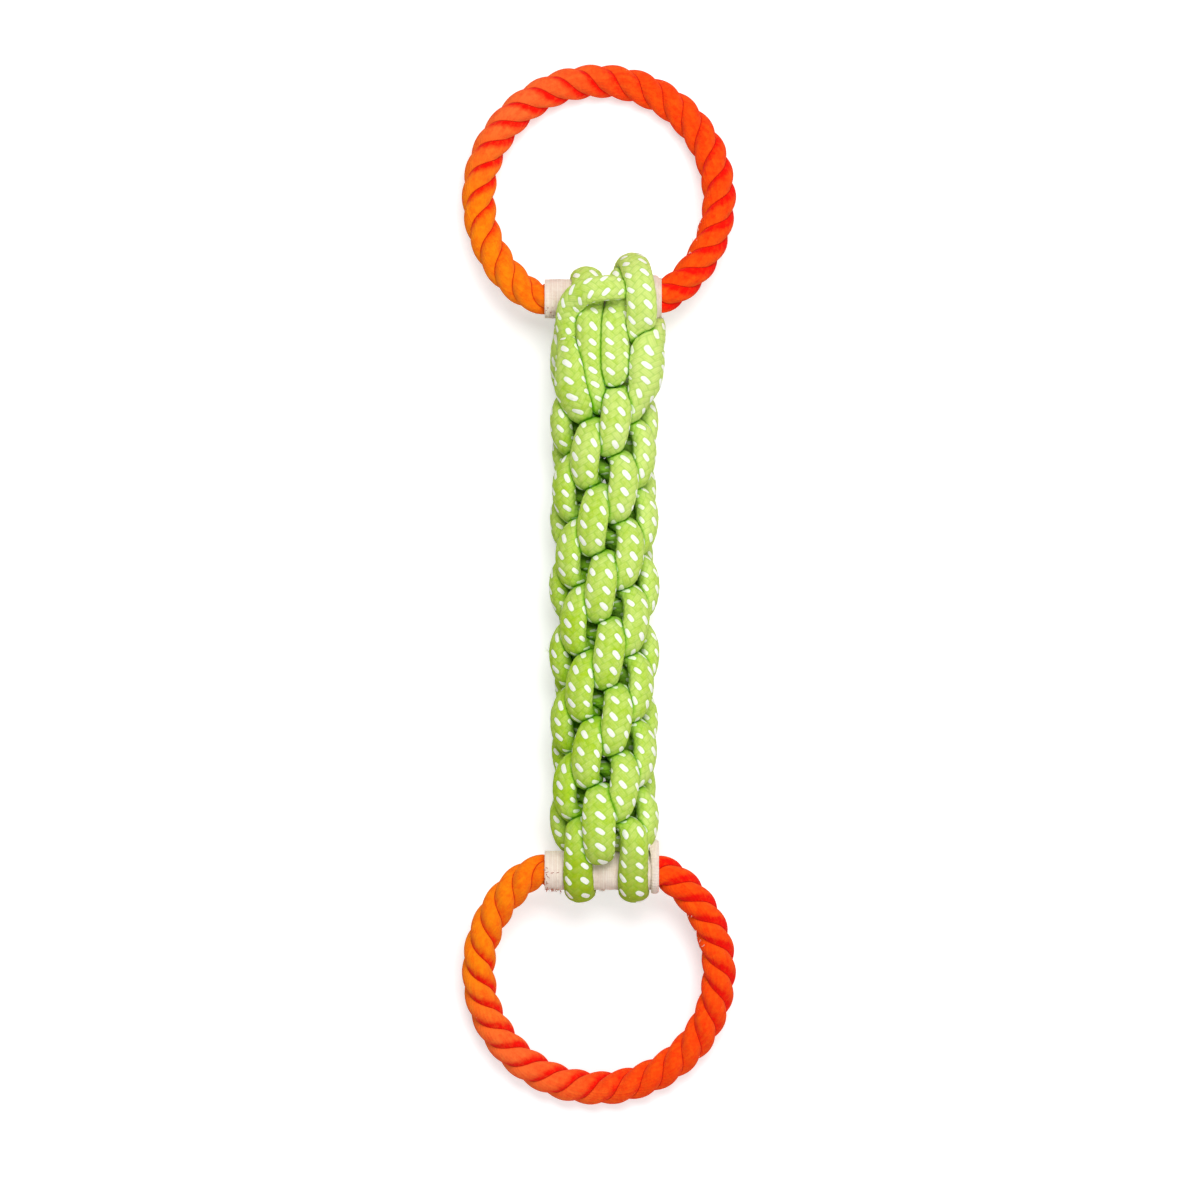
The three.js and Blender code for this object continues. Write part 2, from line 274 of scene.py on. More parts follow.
def floor_material():
    made, graph = new_material("floor_paper")
    paper = graph.add("BsdfDiffuse", {"Color": floor_grey})
    glow = graph.add("Emission", {"Strength": seen_directly(graph) * floor_lift})
    graph.add("OutputMaterial", {"Surface": graph.add("AddShader", {0: paper, 1: glow})})
    return made


def make_floor():
    mesh = bpy.data.meshes.new("floor")
    corners = [(-1, -1), (1, -1), (1, 1), (-1, 1)]
    places = [(x * floor_half_size, y * floor_half_size, -floor_drop) for x, y in corners]
    mesh.from_pydata(places, [], [(0, 1, 2, 3)])
    mesh.materials.append(floor_material())
    floor = bpy.data.objects.new("floor", mesh)
    bpy.context.scene.collection.objects.link(floor)
    floor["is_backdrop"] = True


def soft_lamp(name, place, size, power):
    """A square lamp at a place in metres that faces the toy."""
    data = bpy.data.lights.new(name, "AREA")
    data.size = size
    data.energy = power
    lamp = bpy.data.objects.new(name, data)
    lamp.location = place
    lamp.rotation_euler = (-Vector(place)).to_track_quat("-Z", "Y").to_euler()
    bpy.context.scene.collection.objects.link(lamp)


def make_world():
    world = bpy.data.worlds.new("studio")
    world.use_nodes = True
    world.node_tree.nodes.clear()
    graph = Graph(world.node_tree)
    room = graph.add("Background", {"Strength": ambient})
    backdrop = graph.add("Background", {"Strength": 1})
    shown = graph.add("MixShader", {0: seen_directly(graph), 1: room, 2: backdrop})
    graph.add("OutputWorld", {"Surface": shown})
    bpy.context.scene.world = world


make_floor()
soft_lamp("key_lamp", (0.15, 0.75, 1.55), 0.9, 22)
soft_lamp("fill_lamp", (0.5, -0.9, 1.1), 0.9, 6)
make_world()
bpy.context.scene.view_settings.view_transform = "Standard"
print("floor, two lamps and a pale world")

# %% [markdown]
# ## Meshes from grids
# Ropes, cords and sleeves are all tubes. Curve objects with a bevel would make plain tubes fast,
# but these have relief and squeezed sections, so one helper makes every mesh from a grid of
# points: rows along the tube and columns round it. Its UV map holds the place along and round
# the tube, which the materials use to lay their yarns.

# %% Meshes from grids
skin_lift = 0.02  # the least height of a point over the floor


def add_piece(name, mesh, body, nodes=()):
    """A mesh as a piece that rides on a body, in place of the CAD nodes that are named."""
    piece = bpy.data.objects.new(name, mesh)
    bpy.context.scene.collection.objects.link(piece)
    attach(piece, body)
    if nodes:
        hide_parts(*nodes)
    return piece


def grid_piece(name, points, along, around, body, nodes, closed_rows=False, flip=False):
    """A piece from points[row, column] in millimetres. along has a value for each row and around
    one more value than columns, both for the UV map."""
    rows, columns = points.shape[:2]
    spans = rows if closed_rows else rows - 1
    row, column = np.meshgrid(np.arange(spans), np.arange(columns), indexing="ij")
    corners = [(0, 0), (0, 1), (1, 1), (1, 0)]
    if flip:
        corners.reverse()
    vertex_of = [(row + up) % rows * columns + (column + over) % columns for up, over in corners]
    vertex_of = np.stack(vertex_of, axis=-1).reshape(-1)
    uv_of = [np.stack([along[row + up], around[column + over]], axis=-1) for up, over in corners]
    uv_of = np.stack(uv_of, axis=-2).reshape(-1, 2)
    quads = spans * columns
    starts = np.arange(quads) * 4
    totals = np.full(quads, 4)
    if not closed_rows:
        first = np.arange(columns)
        last = first + (rows - 1) * columns
        caps = [cap[::-1] if flip else cap for cap in (first[::-1], last)]
        cap_uv = [np.stack([np.full(columns, end), np.zeros(columns)], axis=-1) for end in along[[0, -1]]]
        vertex_of = np.concatenate([vertex_of, *caps])
        uv_of = np.concatenate([uv_of, *cap_uv])
        starts = np.concatenate([starts, [quads * 4, quads * 4 + columns]])
        totals = np.concatenate([totals, [columns, columns]])
    mesh = bpy.data.meshes.new(name)
    mesh.vertices.add(rows * columns)
    mesh.vertices.foreach_set("co", (points.reshape(-1) * MM).astype(np.float32))
    mesh.loops.add(len(vertex_of))
    mesh.loops.foreach_set("vertex_index", vertex_of.astype(np.int32))
    mesh.polygons.add(len(starts))
    mesh.polygons.foreach_set("loop_start", starts.astype(np.int32))
    mesh.polygons.foreach_set("loop_total", totals.astype(np.int32))
    mesh.polygons.foreach_set("use_smooth", np.ones(len(starts), bool))
    mesh.update(calc_edges=True)
    mesh.uv_layers.new(name="run").data.foreach_set("uv", uv_of.reshape(-1).astype(np.float32))
    mesh.validate()
    return add_piece(name, mesh, body, nodes)


def keep(piece, **kept):
    """Keeps numbers for each vertex, which a material can read by their names."""
    for name, values in kept.items():
        made = piece.data.attributes.new(name, "FLOAT", "POINT")
        made.data.foreach_set("value", values.reshape(-1).astype(np.float32))


# %% Helpers for shapes
def unit(vectors):
    return vectors / np.maximum(np.linalg.norm(vectors, axis=-1, keepdims=True), 1e-9)


def outward(points):
    """The direction off the surface at each point of a grid that is closed round its columns."""
    down_rows = np.gradient(points, axis=0)
    across_columns = np.roll(points, -1, axis=1) - np.roll(points, 1, axis=1)
    return unit(np.cross(across_columns, down_rows))


def wander(place, seed, wavelength, waves=4):
    """A smooth unevenness from -1 to 1 along a place, the same on each run."""
    random = np.random.default_rng(seed)
    total = np.zeros_like(place, dtype=float)
    for _ in range(waves):
        stretch = random.uniform(0.6, 1.7) * wavelength
        total += np.sin(2 * np.pi * place / stretch + random.uniform(0, 2 * np.pi))
    return total / waves


def smooth(value, low, high):
    """Zero at low, one at high, smooth between."""
    share = np.clip((value - low) / (high - low), 0, 1)
    return share * share * (3 - 2 * share)


print("mesh helpers ready")

# %% [markdown]
# ## Fibre haze
# Rope, cord and canvas are all spun fibre, and close up none of them has an even colour. One
# node group gives each finish its fine fibres and its small clumps of them, at its own scale.

# %% Fibre haze
def fibre_haze(graph, entry):
    """A shade for the colour, and a height for the bump."""
    clumps = graph.noise(entry["Place"], entry["Clump"], detail=3, roughness=0.6)
    fibres = graph.noise(entry["Place"], entry["Fibre"], detail=2, roughness=0.7)
    height = clumps * 0.6 + fibres * 0.4
    return {"Shade": graph.ramp(height, 0.3, 0.7), "Height": height}


haze = node_group("fibre_haze", {"Place": None, "Clump": 600, "Fibre": 2600}, fibre_haze)
print("haze group ready")

# %% [markdown]
# ## Laid rope
# Three strands are twisted round each other, and the fine yarns in each strand are twisted the
# other way, so that on the surface they run nearly along the rope. The finish could draw those
# yarns from the UV map alone, but they follow the rope better when the mesh hands over its own
# turn. Light and shade are painted into the rope's colour. It is painted red as shade on the flank
# of each strand that looks away from the plait and along the grooves between strands. It is painted
# more orange, yellow and salmon as light on the flank that faces the plait and on the left of each ring.

# %% Orange rope finish
rope_yarns = 42
rope_red = colour(244, 14, 1)
rope_dark = colour(206, 14, 0)
rope_orange = colour(255, 96, 12)
rope_yellow = colour(255, 136, 8)
rope_salmon = colour(255, 112, 50)


def laid_yarns(graph, entry):
    """Yarns along a rope. Turn is the place round the rope, as a share of a turn."""
    place = entry["Turn"] * entry["Yarns"]
    yarn = math.floor(place)
    patch = math.floor(entry["Run"] * 3 + yarn * 0.37)
    return {"Yarn": graph.scatter(yarn, patch, 0), "Height": graph.math("SINE", (place - yarn) * math.pi)}


yarns_along = node_group("laid_yarns", {"Run": 0, "Turn": 0, "Yarns": rope_yarns}, laid_yarns)


def orange_rope_finish():
    made, graph = new_material("orange_rope_fibre")
    place = graph.surface_place()
    fibres = graph.group(haze, Place=place, Clump=420, Fibre=2400)
    mottle = graph.ramp(graph.noise(place, 620, detail=4, roughness=0.7), 0.3, 0.7)
    yarns = graph.group(yarns_along, Run=graph.run()[0], Turn=graph.kept("turn"), Yarns=rope_yarns)
    # Painted light: the left side of each ring is painted yellower near its sleeve and salmon on its far
    # side.
    tint = graph.blend(graph.kept("yellowed"), rope_orange, rope_yellow)
    tint = graph.blend(graph.kept("faded"), tint, rope_salmon)
    # The unevenness is 0.19 in the middle of its range, so the painted red share's own value comes out true.
    # That share is painted shade where it is high and painted light where it is low.
    unevenness = fibres["Shade"] * 0.4 + mottle * 0.2 - yarns["Yarn"] * 0.22
    depth = graph.clamp(graph.kept("groove") + 0.19 - unevenness)
    base = graph.blend(depth, tint, rope_red)
    # Painted shade: a dark red line along the grooves between strands.
    base = graph.blend(graph.kept("seam") * 0.8, base, rope_dark)
    graph.cloth(base, yarns["Height"] * 0.3 + fibres["Height"], 0.3, sheen=0.03)
    return made


rope_finish = orange_rope_finish()
print("rope finish ready")

# %% [markdown]
# ## Ring handles
# The centreline of a ring is straight inside its sleeve, bends at both ends of it, and then
# runs round. The ring hangs down from the sleeve until its far side lies on the floor. A curve
# with a twisted profile could make the rope, but its relief and colour need the place on each
# strand. So each strand is swept by a formula: a third of the rope's section that turns as it
# goes. The upper ring is laid to the right and the lower one, its mirror image, to the left.

# %% Centreline of a ring
rings = {"top": 1, "bottom": -1}  # which way each ring lies from the middle
ring_radius = 45.75
bend_radius = 10
rope_radius = 6.1
lay_length = 28.5
sleeve_length = 43
sleeve_overhang = 0.6
clearance = 0.3
flat_share = 0.1  # of the rope's thickness, pressed flat where it lies on the floor

straight_half = sleeve_length / 2 - sleeve_overhang
bend_depth = math.sqrt((ring_radius - bend_radius) ** 2 - straight_half ** 2)
ring_drop = bend_radius + bend_depth
bend_angle = math.pi / 2 - math.atan2(bend_depth, straight_half)
bend_length = bend_radius * bend_angle
rope_half = straight_half + bend_length + ring_radius * (math.pi - bend_angle)
far_height = rope_radius - 2 * rope_radius * flat_share
droop = math.asin((plait_height - far_height) / (ring_drop + ring_radius))


def tilted(end, x, out, lift):
    """Places on a ring body: out leads to the ring's far side, and lift is square to its plane."""
    return np.stack(np.broadcast_arrays(
        x,
        end * (sleeve_y + out * math.cos(droop) + lift * math.sin(droop)),
        plait_height - out * math.sin(droop) + lift * math.cos(droop),
    ), axis=-1)


def ring_point(end, distance, radius, angle):
    """Places about the rope's centreline. distance runs along the rope from the middle of the
    sleeve, angle zero points to the ring's centre, and end is 1 for the upper ring."""
    side = np.where(distance < 0, -1.0, 1.0)
    along = np.abs(distance)
    bend = np.clip((along - straight_half) / bend_radius, 0, bend_angle)
    heading = bend + np.clip(along - straight_half - bend_length, 0, None) / ring_radius
    on_round = along > straight_half + bend_length
    bend_x = np.minimum(along, straight_half) + bend_radius * np.sin(bend)
    x = np.where(on_round, ring_radius * np.sin(heading), bend_x)
    out = np.where(on_round, ring_drop - ring_radius * np.cos(heading), bend_radius * (1 - np.cos(bend)))
    in_plane = radius * np.cos(angle)
    x = side * x - side * np.sin(heading) * in_plane
    return tilted(end, x, out + np.cos(heading) * in_plane, radius * np.sin(angle))


print(f"a ring's rope is {2 * rope_half:.0f} mm long and droops {math.degrees(droop):.1f} degrees")

# %% Section of a strand
sector = 2 * math.pi / 3
strand_radius = 3.8
strand_offset = rope_radius - strand_radius  # of a strand's own centre from the rope's
strand_gap = 0.05
crest_points = 33
flank_points = 5


def strand_outline():
    """The polar outline of a strand: a round crest and two flat flanks that meet at the rope's
    core. Also each point's place across the strand, from -1 to 1, with 0 on the crest."""
    half = sector / 2 - strand_gap / 2 / strand_radius
    share = np.sin(np.linspace(-math.pi / 2, math.pi / 2, crest_points))
    chord = strand_offset * np.sin(share * half)
    crest = strand_offset * np.cos(share * half) + np.sqrt(strand_radius ** 2 - chord ** 2)
    inner = np.linspace(crest[-1], clearance, flank_points + 1)[1:]
    flank = np.full(flank_points, half)
    radius = np.concatenate([crest, inner, inner[::-1][1:]])
    angle = np.concatenate([share * half, flank, -flank[1:]])
    across = np.concatenate([share, np.ones(flank_points), -np.ones(flank_points - 1)])
    return radius, angle, across


# %% Rope strands
strand_step = 0.5
yarn_relief = 0.04
crest_swell = 0.02  # how far the crests grow and shrink along a strand
free_swell = 0.06  # the rope is thicker where its sleeve doesn't hold it
lay_angle = math.atan(2 * math.pi * rope_radius / lay_length)
press = 0.17  # how far the strands lean across the rope where it is seen from above or below


def make_strand(ring_name, index):
    end = rings[ring_name]
    seed = 7 * index + 2 + end
    length = 2 * rope_half - clearance
    distance = np.linspace(clearance / 2, clearance / 2 + length, round(length / strand_step) + 1)
    place = np.where(distance > rope_half, distance - 2 * rope_half, distance)
    turn = 2 * math.pi * distance / lay_length + index * sector + 0.1 * wander(distance, 40, 90)
    radius, angle, across = strand_outline()
    round_rope = angle + turn[:, None]
    crest = 1 - across ** 2
    fade = 0.55 + 0.45 * wander(distance[:, None] + 9 * angle, seed + 3, 25)
    relief = np.abs(np.sin(round_rope * rope_yarns / 2)) ** 0.7 * crest * fade
    free = smooth(np.abs(place), sleeve_length / 2 + 1, sleeve_length / 2 + 10)[:, None]
    swell = 1 + crest_swell * wander(distance, seed, 60)[:, None] * crest + free_swell * free
    skin = radius * swell + yarn_relief * (relief - 0.5)
    grid = ring_point(end, place[:, None], skin, round_rope - press * np.sin(2 * round_rope))
    grid[..., 2] = np.maximum(grid[..., 2], skin_lift)
    name, replaced = f"{ring_name}_rope_strand_{index + 1}", f"{ring_name}_ring_strand_{index + 1}"
    along, around = distance / lay_length, np.append(angle, angle[0]) / (2 * math.pi)
    body = f"ring_{ring_name}"
    piece = grid_piece(name, grid, along, around, body, [replaced], flip=end > 0)
    beyond = end * grid[..., 1] - sleeve_y - ring_drop
    left = smooth(-grid[..., 0], -25, 40)
    far = smooth(beyond, -5, 40)
    # Painted shade: one flank of each strand, the one that looks away from the plait, is painted red. The
    # flank that faces the plait and the left side of each ring are painted less red, as painted light.
    outer_flank = across * np.cos(np.arctan2(grid[..., 0], beyond) + lay_angle)
    red = 0.44 - 0.26 * left + 0.78 * smooth(outer_flank, 0.05, 0.75) - 0.2 * smooth(-outer_flank, 0.1, 0.9)
    # Painted shade: a dark line along both edges of each strand, where the strands meet in the grooves.
    seam = smooth(np.broadcast_to(np.abs(across), left.shape), 0.9, 1.0)
    keep(piece, turn=round_rope / (2 * math.pi), groove=np.clip(red, 0, 1), seam=seam)
    # Painted light: the left side of each ring is painted yellower near its sleeve and salmon on its far
    # side.
    keep(piece, yellowed=left * (1 - far), faded=left * far)
    piece.data.materials.append(rope_finish)
    return len(piece.data.polygons)


strand_faces = [make_strand(ring_name, index) for ring_name in rings for index in range(3)]
print(f"six strands, {sum(strand_faces)} faces")

# %% [markdown]
# ## Plaited cords
# The bar is a round crown plait of four legs. Each of two cords is middled round the lower
# sleeve, which makes two legs of it. In every crown each leg passes over one neighbour and under
# the next, and then bows out on its way up to the next crown, so only these bouts show. The
# route is worked out crown by crown, and only the wraps and the lashing at the upper sleeve are
# listed places. It is a list of stations. A station is a place of the cord's centreline,
# the direction of its width, or None and the direction that it faces, its half width and its half
# depth.

# %% Sizes of the plait
plait_x = 2
bout_radius = 16.8
cord_half_width = 5.5
cord_half_depth = 4.1
pass_half_width = 4.6
pass_half_depth = 2.8
crowns = 14
crown_pitch = 12.6
crown_reach = 9
pass_offset = 4.9
sleeve_wall = 1.1
hem_length = 2.6
first_side = 12.5  # degrees, like the three after it
side_step = 129.8
lean = 18
first_turn = 17  # of the lowest bouts, over to the right wrap
first_sag = 3.7  # how much further the lowest bouts hang down over the sleeve
# The lower half of a bout stays full, because there the cord comes out from under its neighbour.
lower_half = {"bow": 0.62, "depth": 0.5, "stretch": 1.9}
upper_half = {"bow": 0.95, "depth": 0.8, "stretch": 1.3}

plait_radius = bout_radius + cord_half_depth
sleeve_radius = rope_radius + clearance + sleeve_wall
crown_rise = crown_pitch / 4
first_crown_y = -sleeve_y + sleeve_radius + 2 * crown_rise
entry_offset = (lean + 180 - side_step) / 2
bout_half_height = crown_pitch / 2 + crown_rise
print(f"{crowns} crowns, {crown_pitch} mm apart, from y {first_crown_y:.1f} mm")

# %% Stations in the plait
def plait_point(radius, degrees, y):
    """A place on the plait. Angle zero faces up and 90 degrees faces +X."""
    angle = math.radians(degrees)
    return np.array([plait_x + radius * math.sin(angle), y, plait_height + radius * math.cos(angle)])


def around_plait(degrees):
    angle = math.radians(degrees)
    return np.array([math.cos(angle), 0, -math.sin(angle)])


def crown_y(crown):
    return first_crown_y + crown * crown_pitch


def pass_stations(side, crown):
    """Over one neighbour and under the next, through the core of a crown."""
    stations = []
    for over in (1, -1):
        y = crown_y(crown) + over * crown_rise
        at = plait_point(pass_offset * math.sqrt(2), side + 90 - over * 45, y)
        across = around_plait(side) * pass_offset - np.array([0, over * crown_rise, 0])
        stations.append((at, across, None, pass_half_width, pass_half_depth))
    return stations


def bout_station(side, crown, degrees):
    """A bout, from 0 degrees where it leaves a crown to 180 where it enters the next."""
    swell = math.sin(math.radians(degrees))
    half = lower_half if degrees < 90 else upper_half
    angle = side + 180 - entry_offset + lean * degrees / 180
    half_height = bout_half_height + half["stretch"]
    fullness = 1
    if crown == 0:
        in_front = max(0, math.cos(math.radians(angle))) ** 2
        angle += first_turn * (1 - degrees / 180) ** 1.5 * in_front
        half_height += first_sag * in_front * (degrees < 90)
        fullness = 1 + 0.1 * in_front
    y = crown_y(crown) + crown_pitch / 2 - half_height * math.cos(math.radians(degrees))
    at = plait_point(crown_reach + (bout_radius - crown_reach) * swell ** half["bow"], angle, y)
    half_width = pass_half_width + (cord_half_width + 0.35 - pass_half_width) * swell ** 0.8
    half_depth = pass_half_depth + (cord_half_depth + 0.1 - pass_half_depth) * swell ** half["depth"]
    return at, around_plait(angle), None, half_width * fullness, half_depth


# %% Stations by the sleeves
wrap_half_width = 6
wrap_half_depth = 2.2
wrap_fullness = 4.2
wrap_steps = 12
right_wrap_share = 0.55
near_sleeve_shares = (-0.85, -0.3)


def hand_stations(rows):
    """Rows of x, y away from the plait and z beside the upper sleeve's axis, as shares of the
    plait's radius, and then the half width and half depth as shares of the cord's own."""
    stations = []
    for x, y, z, width, depth in rows:
        by_sleeve = smooth(y, *near_sleeve_shares)
        at = np.array([plait_x, sleeve_y, plait_height]) + plait_radius * np.array([x, y, z])
        faces = np.array([x * (1 - by_sleeve), y * by_sleeve, z])
        stations.append((at, None, faces, width * cord_half_width, depth * cord_half_depth))
    return stations


def wrap_stations(end, x_shares, start, stop, layer=0, width=1, rise=0):
    """An arc round a sleeve. Angle zero faces up and 90 degrees faces away from the plait. The
    section is drawn round and the sleeve presses its inner side flat."""
    outer = sleeve_radius + clearance + 2 * wrap_half_depth + layer * (2 * wrap_half_depth + clearance)
    stations = []
    for step in range(wrap_steps + 1):
        share = step / wrap_steps
        angle = math.radians(start + (stop - start) * share)
        out = np.array([0, end * math.sin(angle), math.cos(angle)])
        x = plait_x + (x_shares[0] + (x_shares[1] - x_shares[0]) * share) * plait_radius
        middle = np.array([x, end * sleeve_y, plait_height + rise * max(0, out[2])])
        at = middle + out * (outer - wrap_fullness)
        stations.append((at, None, out, width * wrap_half_width, wrap_fullness))
    return stations


# %% The lashing at the upper sleeve
# Each leg's way from the last crown to the sleeve, its wrap round it, and its way down to where
# the end is tucked in.
lashings = {
    "front_right": {
        "before": [
            (0.6, -1.86, 0.52, 1, 0.9), (0.73, -1.55, 0.52, 1.35, 1.4), (0.76, -1.2, 0.5, 1.55, 1.55),
            (0.8, -0.9, 0.46, 1.35, 1.45), (0.9, -0.7, 0.3, 1, 1.1), (0.92, -0.54, 0, 0.85, 0.75),
            (0.8, -0.44, -0.38, 0.8, 0.6), (0.52, -0.28, -0.58, 0.75, 0.55),
        ],
        "wrap": {"x_shares": (0.42, 0.25), "start": 190, "stop": -20, "width": 0.8},
        "after": [
            (0.18, -0.5, 0.62, 0.95, 0.8), (0.18, -0.95, 0.68, 1.08, 0.95), (0.19, -1.3, 0.68, 1.08, 0.9),
            (0.18, -1.52, 0.62, 0.8, 0.7), (0.19, -1.64, 0.55, 0.5, 0.4),
        ],
    },
    "back_right": {
        "before": [
            (0.43, -1.8, -0.63, 0.8, 0.75), (0.48, -1.3, -0.78, 0.95, 0.95), (0.46, -0.7, -0.84, 0.9, 0.8),
            (0.4, -0.3, -0.84, 0.9, 0.6),
        ],
        "wrap": {"x_shares": (0.36, 0.66), "start": 170, "stop": 10, "layer": 1.1, "width": 0.95, "rise": 2},
        "after": [
            (0.68, -0.16, 0.76, 1.05, 0.75), (0.67, -0.42, 0.68, 1.05, 0.75), (0.62, -0.66, 0.48, 0.9, 0.65),
            (0.56, -0.85, 0.3, 0.5, 0.4),
        ],
    },
    "back_left": {
        "before": [
            (-0.6, -1.83, -0.48, 0.82, 0.75), (-0.76, -1.4, -0.25, 1, 1), (-0.75, -0.9, 0, 1.15, 1.1),
            (-0.66, -0.6, -0.25, 1.15, 1), (-0.55, -0.26, -0.54, 0.8, 0.6),
        ],
        "wrap": {"x_shares": (-0.36, -0.28), "start": 180, "stop": -20, "width": 1},
        "after": [
            (-0.27, -0.5, 0.62, 0.9, 0.8), (-0.26, -0.95, 0.66, 0.95, 0.95), (-0.25, -1.35, 0.66, 0.95, 0.9),
            (-0.18, -1.75, 0.62, 0.85, 0.85), (-0.12, -2, 0.56, 0.6, 0.6), (-0.11, -2.12, 0.5, 0.35, 0.35),
        ],
    },
    "front_left": {
        "before": [
            (-0.5, -1.92, 0.58, 1.25, 1.15), (-0.6, -1.65, 0.66, 1.3, 1.2), (-0.63, -1.3, 0.66, 1.15, 1.1),
            (-0.66, -1, 0.54, 1, 0.95), (-0.68, -0.76, 0.38, 0.85, 0.75), (-0.67, -0.5, 0.42, 0.85, 0.7),
            (-0.6, -0.15, 0.58, 0.9, 0.7), (-0.46, 0.03, 0.74, 0.9, 0.7), (-0.29, 0.12, 0.83, 0.9, 0.7),
            (-0.1, 0.15, 0.86, 0.88, 0.7), (0.1, 0.17, 0.84, 0.88, 0.7), (0.25, 0.16, 0.74, 0.8, 0.6),
            (0.37, 0.15, 0.62, 0.65, 0.5), (0.47, 0.14, 0.5, 0.4, 0.35),
        ],
    },
}
print(f"{len(lashings)} legs are lashed")

# %% The whole route of each cord
middle_wraps = {
    "right": {"x_shares": (0.52, 0.562), "start": 24, "stop": 156, "width": 0.97},
    "left": {"x_shares": (-0.47, -0.4), "start": 24, "stop": 156, "width": 0.96},
}
bout_degrees = range(15, 166, 15)
# Where a leg comes up from the lower sleeve: places on its first half bout, and how far its
# width there has turned to lie along the sleeve.
arrivals = ((125, 0.75), (145, 0.35), (165, 0))


def leg_side(leg, crown):
    return first_side + side_step * crown + 90 * leg


def arrival_station(leg, degrees, settled, wrap):
    at, across, _, half_width, half_depth = bout_station(leg_side(leg, -1), -1, degrees)
    along_sleeve = np.array([math.copysign(1, across[0]), 0, 0])
    wrap_x = plait_x + sum(wrap["x_shares"]) / 2 * plait_radius
    at[0] += settled * (wrap_x - at[0])
    across = across * (1 - settled) + along_sleeve * settled
    return at, across, None, half_width * (1 - 0.12 * settled), half_depth


def leg_stations(leg, lashing, wrap):
    stations = [arrival_station(leg, *arrival, wrap) for arrival in arrivals]
    for crown in range(crowns):
        side = leg_side(leg, crown)
        stations += pass_stations(side, crown)
        degrees_here = bout_degrees if crown < crowns - 1 else bout_degrees[:1]
        stations += [bout_station(side, crown, degrees) for degrees in degrees_here]
    stations += hand_stations(lashing["before"])
    if "wrap" in lashing:
        stations += wrap_stations(1, **lashing["wrap"]) + hand_stations(lashing["after"])
    return stations


def cord_stations(side, front_leg, back_leg):
    wrap = middle_wraps[side]
    front = leg_stations(front_leg, lashings[f"front_{side}"], wrap)
    back = leg_stations(back_leg, lashings[f"back_{side}"], wrap)
    return front[::-1] + wrap_stations(-1, **wrap) + back


# %% Smooth line through the stations
section_step = 0.6


def through(knots, values, places):
    """A smooth curve through values at knots, read at places."""
    span = np.diff(knots)
    slope = np.diff(values, axis=0) / span[:, None]
    weight = (span[1:] / (span[1:] + span[:-1]))[:, None]
    tangent = np.concatenate([slope[:1], weight * slope[:-1] + (1 - weight) * slope[1:], slope[-1:]])
    index = np.clip(np.searchsorted(knots, places, side="right") - 1, 0, len(span) - 1)
    length = span[index][:, None]
    t = (places[:, None] - knots[index][:, None]) / length
    return (
        (2 * t ** 3 - 3 * t ** 2 + 1) * values[index] + (t ** 3 - 2 * t ** 2 + t) * length * tangent[index]
        + (3 * t ** 2 - 2 * t ** 3) * values[index + 1] + (t ** 3 - t ** 2) * length * tangent[index + 1]
    )


def distances(points, power=1):
    """How far each point is from the first, step by step."""
    steps = np.linalg.norm(np.diff(points, axis=0), axis=1) ** power
    return np.concatenate([[0], np.cumsum(steps)])


def cord_line(stations):
    """Centre, direction along, width and depth directions, half sizes and length at each
    section of a cord."""
    centre = np.array([station[0] for station in stations])
    wide = []
    for (_, across, faces, _, _), forward in zip(stations, unit(np.gradient(centre, axis=0))):
        direction = np.cross(faces, forward) if across is None else across
        direction = direction - forward * np.dot(direction, forward)
        direction = direction / np.linalg.norm(direction)
        if wide and np.dot(direction, wide[-1]) < 0:
            direction = -direction
        wide.append(direction)
    half = np.array([station[3:] for station in stations])
    knots = distances(centre, 0.8)
    fine = np.linspace(0, knots[-1], 40 * len(stations))
    run = distances(through(knots, centre, fine))
    places = np.interp(np.linspace(0, run[-1], round(run[-1] / section_step) + 1), run, fine)
    centre = through(knots, centre, places)
    along = unit(np.gradient(centre, axis=0))
    wide = through(knots, np.array(wide), places)
    wide = unit(wide - along * np.sum(wide * along, axis=1, keepdims=True))
    half = np.stack([np.interp(places, knots, half[:, side]) for side in (0, 1)], axis=1)
    run = np.linspace(0, run[-1], len(places))
    deep = np.cross(along, wide)
    return {"centre": centre, "along": along, "wide": wide, "deep": deep, "half": half, "run": run}


cords = {
    "right_cord": cord_line(cord_stations("right", 0, 1)),
    "left_cord": cord_line(cord_stations("left", 3, 2)),
}
for cord_name, line in cords.items():
    print(f"{cord_name} is {line['run'][-1]:.0f} mm long, {len(line['run'])} sections")

# %% [markdown]
# ## Soft cords press each other flat
# Tubes drawn at the cord's full size would run through each other in the plait. Real soft cords
# share the room instead: each gives way until both are squeezed alike, which leaves a flat
# contact between them and a sharp crease where it meets the surface. A cloth simulation could
# find that, but slowly. Here each point of a section goes out from the centreline until another
# stretch of cord would be squeezed less than its own, until it meets a sleeve, or until the
# inside of its own bend is full.

# %% Sections of a cord
section_points = 60
bend_fullness = 0.8


def section_offsets(line):
    """From the centreline to the full section's outline."""
    turn = np.linspace(0, 2 * math.pi, section_points, endpoint=False)[None, :, None]
    width = line["wide"] * line["half"][:, :1]
    depth = line["deep"] * line["half"][:, 1:]
    return width[:, None] * np.cos(turn) + depth[:, None] * np.sin(turn)


def bend_limit(line, offsets):
    """How far a section reaches on the inside of a bend before it would fold over itself."""
    bend = np.gradient(line["along"], axis=0) / section_step
    kernel = np.ones(5) / 5
    bend = np.stack([np.convolve(bend[:, axis], kernel, mode="same") for axis in range(3)], axis=1)
    towards = np.sum(offsets * bend[:, None], axis=2)
    return np.where(towards > bend_fullness, bend_fullness / np.maximum(towards, 1e-6), 1.0)


# %% Squeeze the sections against each other
reach_shares = np.linspace(0.2, 1.0, 17)
neighbour_reach = 14
own_stretch = 12
neighbour_stride = 3
contact_share = 0.02
untouched = 9.0


